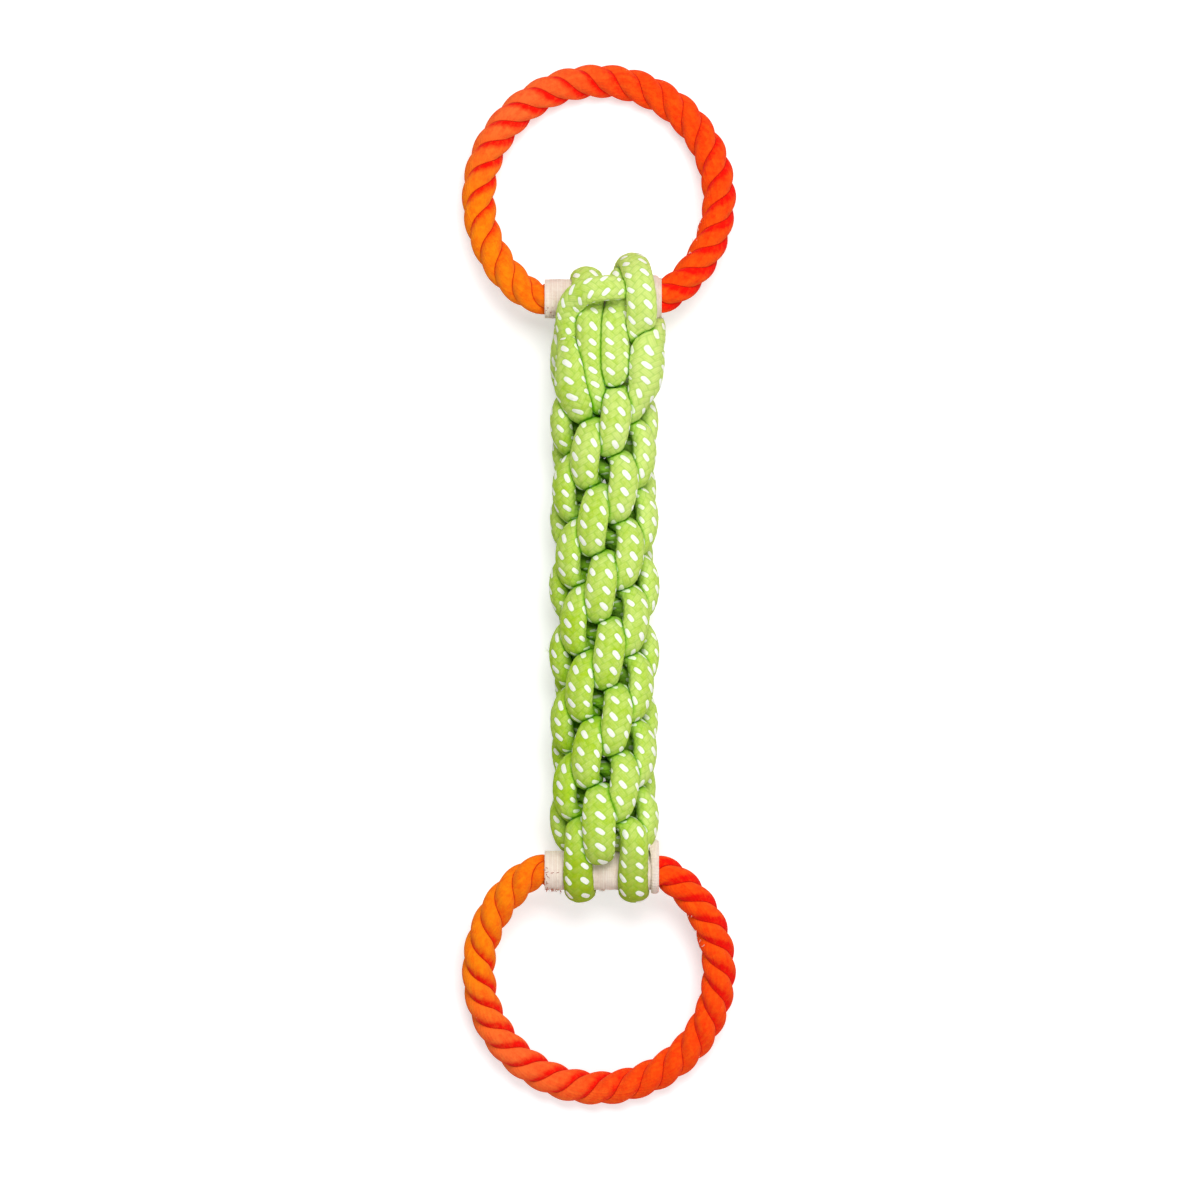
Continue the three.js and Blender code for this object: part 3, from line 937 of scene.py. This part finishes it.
def squeezed_by(near, points):
    """How deep points are in the cord that is near: 1 on its skin and 0 on its centreline."""
    if not len(near["run"]):
        return np.full(points.shape[:2], untouched)
    from_near = points.reshape(1, -1, 3) - near["centre"][:, None]
    sizes = {"wide": near["half"][:, :1], "deep": near["half"][:, 1:], "along": cord_half_depth}
    parts = [np.einsum("knx,kx->kn", from_near, near[key]) / size for key, size in sizes.items()]
    return np.sqrt(sum(part ** 2 for part in parts).min(axis=0)).reshape(points.shape[:2])


def settle(points, squeezed):
    """The share of its full size at which each column of points stops, and its crease there."""
    free = squeezed > reach_shares[:, None] * (1 + contact_share)
    for end in rings.values():
        from_sleeve = np.hypot(points[..., 1] - end * sleeve_y, points[..., 2] - plait_height)
        free &= from_sleeve > sleeve_radius + clearance / 2
    last = len(reach_shares) - 1
    stop = np.where(free.all(axis=0), last, np.maximum(np.argmin(free, axis=0) - 1, 0))
    after = np.minimum(stop + 1, last)
    columns = np.arange(section_points)
    here = squeezed[stop, columns]
    room_here = here - reach_shares[stop]
    room_after = squeezed[after, columns] - reach_shares[after]
    part = np.clip(room_here / np.maximum(room_here - room_after, 1e-6), 0, 1)
    reach = reach_shares[stop] + part * (reach_shares[after] - reach_shares[stop])
    return reach, 1 - smooth(here, 1.0, 1.22)


def squeeze(lines):
    """Adds to each line how far its sections reach, and how creased they are."""
    every = {
        key: np.concatenate([line[key] for line in lines.values()])[::neighbour_stride]
        for key in ("centre", "along", "wide", "deep", "half", "run")
    }
    owner = np.concatenate([np.full(len(line["run"]), name) for name, line in lines.items()])
    owner = owner[::neighbour_stride]
    for name, line in lines.items():
        offsets = section_offsets(line)
        settled = []
        for middle, run, outline in zip(line["centre"], line["run"], offsets):
            close = np.linalg.norm(every["centre"] - middle, axis=1) < neighbour_reach
            close &= (owner != name) | (np.abs(every["run"] - run) > own_stretch)
            points = middle + reach_shares[:, None, None] * outline
            near = {key: values[close] for key, values in every.items()}
            settled.append(settle(points, squeezed_by(near, points)))
        reach, crease = np.swapaxes(settled, 0, 1)
        line["reach"] = np.minimum(reach, bend_limit(line, offsets))
        line["crease"] = crease


squeeze(cords)
shares = {name: round(float((line["reach"] < 0.97).mean()), 2) for name, line in cords.items()}
print("squeezed share of the points:", shares)

# %% [markdown]
# ## Braided surface
# The cord itself is braided: ten yarns wind to the left and ten to the right, each over two and
# under two. One in two of the left-hand yarns is white, and it shows as a slanting fleck
# wherever it comes to the top. A picture of a braid would stretch in the bends, so one rule is
# written twice: it shapes the mesh, where each float of a yarn is a small pillow, and it
# colours the surface in the shader.

# %% Braid relief on the mesh
braid_yarns = 10
yarn_pitch = 2.65
braid_relief = 0.2
tip_length = 3
sunken_radii = (12, 18.5)  # from the plait's axis: all in its shade, and none of it
free_share = 0.93  # of its full size, that skin which nothing presses has
free_skin = {}  # where the fuzz can grow


def braid_height(along, around):
    """The height of the yarns at a place along and round the cord, from 0 to 1."""
    left = braid_yarns * around + along
    right = along - braid_yarns * around
    phase = np.mod(np.floor(right) - np.floor(left), 4)
    left_on_top = phase < 1.5
    left_part, right_part = np.mod(left, 1), np.mod(right, 1)
    across = np.where(left_on_top, left_part, right_part)
    forward = np.where(left_on_top, (phase + right_part) / 2, (3 - phase + left_part) / 2)
    return np.sqrt(np.maximum(1 - (2 * across - 1) ** 2, 0)) * (1 - np.abs(2 * forward - 1) ** 3)


def make_cord(name, line):
    soft = line["reach"]
    for _ in range(2):
        soft = (np.roll(soft, 1, axis=1) + 2 * soft + np.roll(soft, -1, axis=1)) / 4
        padded = np.pad(soft, ((1, 1), (0, 0)), mode="edge")
        soft = (padded[:-2] + 2 * padded[1:-1] + padded[2:]) / 4
    reach = np.minimum(soft, line["reach"] + 0.03)
    from_tip = np.minimum(line["run"], line["run"][-1] - line["run"])
    rounding = np.sqrt(np.clip(1 - (1 - np.clip(from_tip / tip_length, 0, 1)) ** 2, 0.02, 1))
    grid = line["centre"][:, None] + section_offsets(line) * (reach * rounding[:, None])[..., None]
    along = line["run"] / yarn_pitch
    around = np.linspace(0, 1, section_points + 1)
    relief = braid_relief * (braid_height(along[:, None], around[:-1]) - 0.5)
    grid += outward(grid) * relief[..., None] * smooth(reach, 0.3, 0.8)[..., None]
    grid[..., 2] = np.maximum(grid[..., 2], skin_lift)
    piece = grid_piece(f"{name}_braid", grid, along, around, "plait", [name])
    from_core = np.hypot(grid[..., 0] - plait_x, grid[..., 2] - plait_height)
    near_sleeve = smooth(np.abs(grid[..., 1]), sleeve_y - plait_radius, sleeve_y - 0.4 * plait_radius)
    # Painted shade is kept for each vertex: the crease where another cord presses close, and how deep a point
    # lies in the plait, away from the sleeves.
    keep(piece, crease=line["crease"], sunken=(1 - smooth(from_core, *sunken_radii)) * (1 - near_sleeve))
    free_skin[name] = (grid, outward(grid), reach > free_share)
    return piece


cord_pieces = [make_cord(name, line) for name, line in cords.items()]
print(f"two cords, {sum(len(piece.data.polygons) for piece in cord_pieces)} faces")

# %% Braided yarns, as a node group
def braided_yarns(graph, entry):
    """The same braid in the shader: its height, its white flecks, a shade for each float of a
    yarn, and the plies of a yarn."""
    turn = entry["Around"] * entry["Yarns"]
    left = entry["Along"] + turn
    right = entry["Along"] - turn
    left_row, right_row = math.floor(left), math.floor(right)
    phase = (right_row - left_row) % 4
    left_on_top = graph.math("LESS_THAN", phase, 1.5)
    across = graph.pick(left_on_top, right - right_row, left - left_row)
    forward = graph.pick(left_on_top, 3 - phase + (left - left_row), phase + (right - right_row)) * 0.5
    from_middle = abs(across * 2 - 1)
    from_centre = abs(forward * 2 - 1)
    height = graph.math("SQRT", graph.math("MAXIMUM", 1 - from_middle ** 2, 0)) * (1 - from_centre ** 3)
    # A float keeps one random number: that of the cell in which it comes up.
    left_first = graph.pick(left_on_top, left_row - (3 - phase), left_row)
    right_first = graph.pick(left_on_top, right_row, right_row - phase)
    ring = (left_first - right_first) % (entry["Yarns"] * 2)
    shade = graph.scatter(left_first + right_first, ring, left_on_top)
    # Every other left-hand yarn is white. Its fleck has frayed edges and its own size.
    white_yarn = graph.math("LESS_THAN", left_row % 2, 0.5)
    reach = (from_middle ** 2.6 + from_centre ** 3) * (shade * 0.35 + 0.9) + (entry["Fuzz"] - 0.5) * 0.4
    white = left_on_top * white_yarn * graph.ramp(reach, 0.86, 0.56)
    ply = graph.math("SINE", graph.math("FRACT", across * entry["Plies"]) * math.pi)
    return {"Height": height, "White": white, "Shade": shade, "Ply": ply * (height * 0.6 + 0.4)}


braid_inputs = {"Along": 0, "Around": 0, "Yarns": braid_yarns, "Plies": 3, "Fuzz": 0.5}
braid = node_group("braided_yarns", braid_inputs, braided_yarns)
print("braid group ready")

# %% Green cord finish
cord_light = colour(212, 232, 130)
cord_green = colour(174, 208, 44)
cord_deep = colour(110, 182, 0)
cord_olive = colour(144, 158, 0)
fleck_white = colour(252, 252, 244)


def green_cord_finish():
    made, graph = new_material("green_braided_cord")
    along, around = graph.run()
    place = graph.surface_place()
    fibres = graph.group(haze, Place=place, Clump=520, Fibre=2800)
    yarns = graph.group(braid, Along=along, Around=around, Fuzz=fibres["Shade"])
    # The upper end is paler, the right side is painted lighter as painted light from the right, and the lower
    # end is darker and more olive.
    x, y, _ = graph.parts(place)
    paler_top_painted_light_right = graph.ramp(y, -0.06, 0.11) + graph.ramp(x, -0.018, 0.024)
    olive_lower_end = graph.ramp(y, -0.088, -0.118)
    patches = graph.ramp(graph.noise(place, 90), 0.35, 0.65)
    mottle = graph.ramp(graph.noise(place, 340, detail=4, roughness=0.7), 0.35, 0.65)
    tone = yarns["Shade"] * 0.25 + fibres["Shade"] * 0.35 + patches * 0.25 + mottle * 0.35
    base = graph.blend(graph.clamp(tone + (paler_top_painted_light_right - 1) * 0.42), cord_green, cord_light)
    base = graph.blend(olive_lower_end * 0.6, base, cord_olive)
    # Painted shade: deep green in creases between cords, deep in the plait, in the low edges of the yarn
    # floats and between plies.
    sunken = graph.clamp(graph.kept("crease") * 0.85 + graph.kept("sunken") * 0.7)
    edge = graph.ramp(1 - yarns["Height"], 0.35, 1.0)
    for share in (sunken, edge * 0.26, (1 - yarns["Ply"]) * 0.12):
        base = graph.blend(share, base, cord_deep)
    # The white flecks are painted dimmer in the painted shade.
    fleck = yarns["White"] * graph.pick(fibres["Shade"], 0.82, 1) * (1 - sunken * 0.75)
    base = graph.blend(fleck, base, fleck_white)
    graph.cloth(base, yarns["Height"] * 0.3 + fibres["Height"] + yarns["Ply"] * 0.15, 0.22, sheen=0.01)
    return made


cord_finish = green_cord_finish()
for piece in cord_pieces:
    piece.data.materials.append(cord_finish)
print("cord finish ready")

# %% [markdown]
# ## Canvas sleeves
# Each ring's rope ends meet inside a sleeve of canvas tape that is wrapped round it and lapped.
# A plain cylinder would look like plastic pipe. The tape isn't quite smooth: it puckers along its
# lap and is squeezed by the cords, so the tube's radius wanders. One end of each sleeve is bound,
# and the bound edge of the lower one stands up towards the plait.

# %% Sleeve and binding meshes
sleeve_to = plait_x + right_wrap_share * plait_radius + wrap_half_width + clearance + hem_length
sleeve_bore = rope_radius + clearance
hem_bore = sleeve_radius + clearance
hem_radius = hem_bore + 1.1
tab_height = 3.2
tab_lean = 1.2
lap_angle = math.radians(35)
canvas_columns = 176
binding_stitches = 44
binding_proud = {"top": 1.4, "bottom": 0.4}  # beyond the end of its sleeve


def sleeve_point(end, place, radius, angle):
    """Places round a sleeve's axis, where angle zero points to the ring's centre."""
    return tilted(end, place, radius * np.cos(angle), radius * np.sin(angle))


def canvas_tube(name, replaced, ring_name, start, stop, bore, outer, step, shift=0):
    """A tube of canvas round the rope. outer gives its radius at a place and an angle, and shift
    is how far its start leans out where it faces the plait."""
    end = rings[ring_name]
    place = np.linspace(start, stop, round((stop - start) / step) + 1)[:, None]
    angle = np.linspace(0, 2 * math.pi, canvas_columns, endpoint=False)
    out = sleeve_point(end, place, outer(place, angle), angle)
    from_start = np.linspace(0, 1, len(place))[:, None]
    out[..., 0] -= shift * (1 - from_start) * np.maximum(0, -np.cos(angle)) ** 5
    grid = np.concatenate([out, sleeve_point(end, place[::-1], bore, angle)])
    along = np.concatenate([place, place[::-1], place[:1]])[:, 0]
    around = np.linspace(0, 1, canvas_columns + 1)
    return grid_piece(
        f"{ring_name}_{name}", grid, along, around, f"ring_{ring_name}", [f"{ring_name}_{replaced}"],
        closed_rows=True, flip=end > 0,
    )


def make_sleeve(ring_name):
    seed = 31 + rings[ring_name]

    def outer(place, angle):
        from_lap = np.mod(angle - lap_angle, 2 * math.pi)
        lap = smooth(from_lap, 0, 0.2) - smooth(from_lap, 2, 5.8)
        pucker = wander(place + 6 * np.cos(angle), seed, 9) * 0.1
        pucker = pucker + wander(place * 0.5 + 9 * np.sin(angle), seed + 5, 7) * 0.08
        creases = wander(place + 0.4 * np.sin(3 * angle), seed + 9, 2.4) * 0.07
        return sleeve_radius - 0.2 + 0.25 * lap + pucker + creases

    start = sleeve_to - sleeve_length
    return canvas_tube("canvas_sleeve", "sleeve", ring_name, start, sleeve_to, sleeve_bore, outer, 0.3)


def make_binding(ring_name):
    end = rings[ring_name]
    has_tab = end < 0

    def outer(place, angle):
        tab = tab_height * np.maximum(0, -np.cos(angle)) ** 3 if has_tab else 0
        across = 2 * (place - sleeve_to + hem_length) / hem_length - 1
        rib = 0.3 * np.abs(np.sin(angle * binding_stitches / 2 + 0.5 * across)) ** 0.8
        unevenness = 0.08 * wander(angle * 9, 50 + end, 6)
        return hem_radius - 0.75 + tab + rib + 0.4 * (1 - np.abs(across) ** 3) + unevenness

    start, stop = sleeve_to - hem_length, sleeve_to + binding_proud[ring_name]
    lean_out = tab_lean if has_tab else 0
    return canvas_tube("sleeve_binding", "sleeve_hem", ring_name, start, stop, hem_bore, outer, 0.2, lean_out)


sleeve_pieces = [make(ring_name) for ring_name in rings for make in (make_sleeve, make_binding)]
print(f"{len(sleeve_pieces)} canvas pieces, {sum(len(piece.data.polygons) for piece in sleeve_pieces)} faces")

# %% Canvas finish
canvas_pale = colour(252, 240, 228)
canvas_shade = colour(224, 196, 178)
canvas_worn = colour(206, 158, 140)
canvas_sheen = 0.08


def plain_weave(graph, entry):
    """Threads over and under each other, and an unevenness between one thread and the next. The
    threads that run round the sleeve are the thicker ones."""
    bent = entry["Along"] + (entry["Fuzz"] - 0.5) * 0.7
    warp, weft = [abs(graph.math("SINE", threads * math.pi)) for threads in (entry["Across"], bent)]
    column, row = math.floor(entry["Across"]), math.floor(bent)
    shade = graph.scatter(column, 3, 0) * 0.3 + graph.scatter(row, 8, 1) * 0.7
    return {"Height": graph.pick((column + row) % 2 * 0.35, weft, warp), "Shade": shade}


weave = node_group("plain_weave", {"Across": 0, "Along": 0, "Fuzz": 0}, plain_weave)


def canvas_finish(name, threads_along, threads_round, bump_depth):
    made, graph = new_material(name)
    along, around = graph.run()
    place = graph.surface_place()
    fibres = graph.group(haze, Place=place, Clump=300, Fibre=2000)
    woven = {"Along": along * threads_along, "Across": around * threads_round, "Fuzz": fibres["Height"]}
    threads = graph.group(weave, **woven)
    # Partly painted shade: the low threads of the weave are painted darker and the raised ones paler, on top
    # of a random shade for each thread and its fibres.
    tone = graph.clamp(threads["Shade"] * 0.35 + fibres["Shade"] * 0.3 + threads["Height"] * 0.35)
    base = graph.blend(tone, canvas_shade, canvas_pale)
    worn = graph.ramp(graph.noise(place, 130, detail=3), 0.55, 0.72)
    base = graph.blend(worn * 0.35, base, canvas_worn)
    graph.cloth(base, threads["Height"] + fibres["Height"] * 0.6, bump_depth, canvas_sheen)
    return made


canvas_cloth = canvas_finish("canvas_cloth", 1.5, 130, 0.1)
canvas_binding = canvas_finish("canvas_binding", 2.2, binding_stitches, 0.12)
for piece in sleeve_pieces:
    piece.data.materials.append(canvas_binding if "binding" in piece.name else canvas_cloth)
print("canvas finishes ready")

# %% [markdown]
# ## Loose threads
# Real sewn canvas frays. A few stitches in red-brown thread lie along the lower sleeve, and ends
# of thread stand out at its edges and out of the ropes. Hair particles don't come along in an
# exported model, so each is a thin bent tube that starts on the surface that it grows from.

# %% Thread meshes
thread_side_hint = (0.31, 0.22, 0.93)  # an odd direction, so that hardly any thread runs along it


def bent_thread(start, direction, length, random, curl=0.35, steps=7):
    """Points along a thread that leaves a surface and wanders."""
    points = [start]
    heading = unit(direction)
    for _ in range(steps):
        heading = unit(heading + curl * random.normal(size=3))
        points.append(points[-1] + heading * length / steps)
    return np.array(points)


def thread_piece(name, threads, radius, body, finish, thread_sides=5):
    """All threads of one colour that ride on one body, as one mesh."""
    vertices, faces = [], []
    turn = np.linspace(0, 2 * math.pi, thread_sides, endpoint=False)[None, :, None]
    for points in threads:
        along = unit(np.gradient(points, axis=0))
        side = unit(np.cross(along, thread_side_hint))
        taper = radius * (1 - 0.5 * np.linspace(0, 1, len(points)) ** 2)
        ring = side[:, None] * np.cos(turn) + np.cross(side, along)[:, None] * np.sin(turn)
        grid = points[:, None] + ring * taper[:, None, None]
        grid[..., 2] = np.maximum(grid[..., 2], skin_lift)
        number = len(vertices) + np.arange(grid.size // 3).reshape(grid.shape[:2])
        beside = np.roll(number, -1, axis=1)
        quads = np.stack([number[:-1], beside[:-1], beside[1:], number[1:]], axis=-1)
        vertices.extend((grid.reshape(-1, 3) * MM).tolist())
        faces.extend(quads.reshape(-1, 4).tolist() + [number[0, ::-1].tolist(), number[-1].tolist()])
    mesh = bpy.data.meshes.new(name)
    mesh.from_pydata(vertices, [], faces)
    mesh.polygons.foreach_set("use_smooth", [True] * len(faces))
    mesh.materials.append(finish)
    add_piece(name, mesh, body)


def thread_finish(name, pale, dark):
    made, graph = new_material(name)
    fibres = graph.group(haze, Place=graph.surface_place(), Clump=700, Fibre=3000)
    graph.cloth(graph.blend(fibres["Shade"], dark, pale), fibres["Height"], 0.05, canvas_sheen)
    return made


red_thread = thread_finish("red_brown_thread", colour(206, 128, 100), colour(150, 66, 48))
pale_thread = thread_finish("pale_thread", colour(250, 240, 226), colour(222, 196, 176))
print("thread helpers ready")

# %% Threads on the sleeves and ropes
stitch_rise = 0.28
root_depth = 0.2  # that a thread starts under the cloth
fray_places = (44, 50, 56, 59)  # along the rope, from the middle of its sleeve


def sleeve_threads(end, from_x, to_x, from_angle, to_angle, random, count, length):
    """Thread ends that leave a sleeve between two places along it and two angles round it."""
    threads = []
    for _ in range(count):
        x = random.uniform(from_x, to_x)
        angle = math.radians(random.uniform(from_angle, to_angle))
        root = sleeve_point(end, x, sleeve_radius - root_depth, angle)
        out = sleeve_point(end, x, sleeve_radius + 1, angle) - root
        lie = np.array([random.uniform(-1, 1), random.uniform(-0.6, 0.6), random.uniform(-0.3, 0.3)])
        threads.append(bent_thread(root, out + lie, random.uniform(0.5, 1) * length, random))
    return threads


def stitches(end, from_x, to_x, angle, count=3):
    """A row of short stitches that lie along a sleeve."""
    pitch = (to_x - from_x) / count
    share = np.linspace(0, 1, 7)
    rows = []
    for index in range(count):
        x = from_x + pitch * (index + 0.06 + 0.66 * share)
        lift = sleeve_radius - 0.1 + stitch_rise * np.sin(math.pi * share)
        slant = math.radians(angle) + 0.05 * (share - 0.5) + 0.03 * math.sin(5 * index)
        rows.append(sleeve_point(end, x, lift, slant))
    return rows


def rope_fray(end, seed):
    """Pale ends of fibre on the inner side of a ring, at distances along its rope."""
    random = np.random.default_rng(seed)
    skin = rope_radius * (1 + free_swell)
    threads = []
    for place in np.repeat(fray_places, 3):
        here = place + random.uniform(-1.2, 1.2)
        angle = random.uniform(-0.5, 0.9)
        root = ring_point(end, here, skin - 0.35, angle)
        out = ring_point(end, here, skin + 1, angle) - root
        forward = ring_point(end, here + 1, rope_radius, angle) - ring_point(end, here, rope_radius, angle)
        way = out * 0.6 + forward * random.uniform(0.4, 1.2)
        threads.append(bent_thread(root, way, random.uniform(0.5, 1) * 1.6, random, curl=0.4))
    return threads


def seeded_threads(end, seed, count, length, *patches):
    """Thread ends on patches of a sleeve: from and to along it, from and to round it."""
    random = np.random.default_rng(seed)
    return [thread for patch in patches for thread in sleeve_threads(end, *patch, random, count, length)]


loose_threads = {
    "bottom_red_threads": (
        stitches(-1, -20.4, -14.4, 97) + stitches(-1, -20.2, -14.6, 30)
        + seeded_threads(-1, 4, 9, 2.2, (-20.5, -14.5, -25, 35), (-20.6, -19.6, 40, 120))
        + seeded_threads(-1, 8, 4, 0.8, (0, 4.5, 0, 20)), 0.14, red_thread,
    ),
    "bottom_pale_threads": (
        seeded_threads(-1, 5, 12, 1.4, (-20.5, -14.5, -20, 25), (0, 4.5, 0, 20)) + rope_fray(-1, 21),
        0.1, pale_thread,
    ),
    "top_red_threads": (seeded_threads(1, 6, 5, 1.2, (-20.5, -17, 120, 200)), 0.12, red_thread),
    "top_pale_threads": (
        rope_fray(1, 22) + seeded_threads(1, 9, 10, 1.0, (-20.6, -17, 60, 220)), 0.1, pale_thread,
    ),
}
for name, (threads, radius, finish) in loose_threads.items():
    thread_piece(name, threads, radius, "ring_" + name.split("_")[0], finish)
print(f"{sum(len(threads) for threads, _, _ in loose_threads.values())} loose threads")

# %% Fuzz on the cords
fibres_on_cord = 1300
fibres_in_tuft = 16
fuzz_finish = thread_finish("green_fuzz", colour(226, 242, 160), colour(178, 214, 80))


def cord_fuzz(name, seed):
    """Fine fibres that stand out of the free skin of a cord, but not beside a binding."""
    random = np.random.default_rng(seed)
    grid, normal, free = free_skin[name]
    from_hinge = np.hypot(np.abs(grid[..., 1]) - sleeve_y, grid[..., 2] - plait_height)
    by_binding = (grid[..., 0] > 17) & (from_hinge < sleeve_radius + 4)
    rows, columns = np.nonzero(free & ~by_binding)
    fibres = []
    for index in random.choice(len(rows), fibres_on_cord, replace=False):
        at = rows[index], columns[index]
        way = normal[at] + 0.7 * random.normal(size=3)
        root = grid[at] - 0.1 * normal[at]
        fibres.append(bent_thread(root, way, random.uniform(0.5, 1.3), random, steps=3))
    return fibres


def snagged_tuft():
    """A few longer fibres that something sharp once pulled out of the plait's left side."""
    random = np.random.default_rng(70)
    middle = np.array([plait_x - plait_radius + 0.6, -24.9, plait_height + 1.5])
    fibres = []
    for _ in range(fibres_in_tuft):
        way = np.array([-1, random.uniform(-0.8, 0.6), random.uniform(-0.4, 0.8)])
        root = middle + random.normal(size=3) * 0.5
        fibres.append(bent_thread(root, way, random.uniform(1.6, 3), random))
    return fibres


fuzz = cord_fuzz("right_cord", 61) + cord_fuzz("left_cord", 62) + snagged_tuft()
thread_piece("plait_fuzz", fuzz, 0.045, "plait", fuzz_finish, thread_sides=3)
print(f"{len(fuzz)} fibres on the cords")

# %% [markdown]
# ## The boxes
# Both boxes, that of the imported model and that of the visual one, are printed before the scene closes.
# The visual model has to stay inside the imported model's box, apart from a little fuzz.

# %% Print the boxes
low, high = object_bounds()
boxes = {
    "cad": {"low": [float(v) for v in cad_low], "high": [float(v) for v in cad_high]},
    "visual": {"low": [float(v) for v in low], "high": [float(v) for v in high]},
}
for name, box in boxes.items():
    print(name, [round(value / MM, 1) for value in box["low"] + box["high"]])
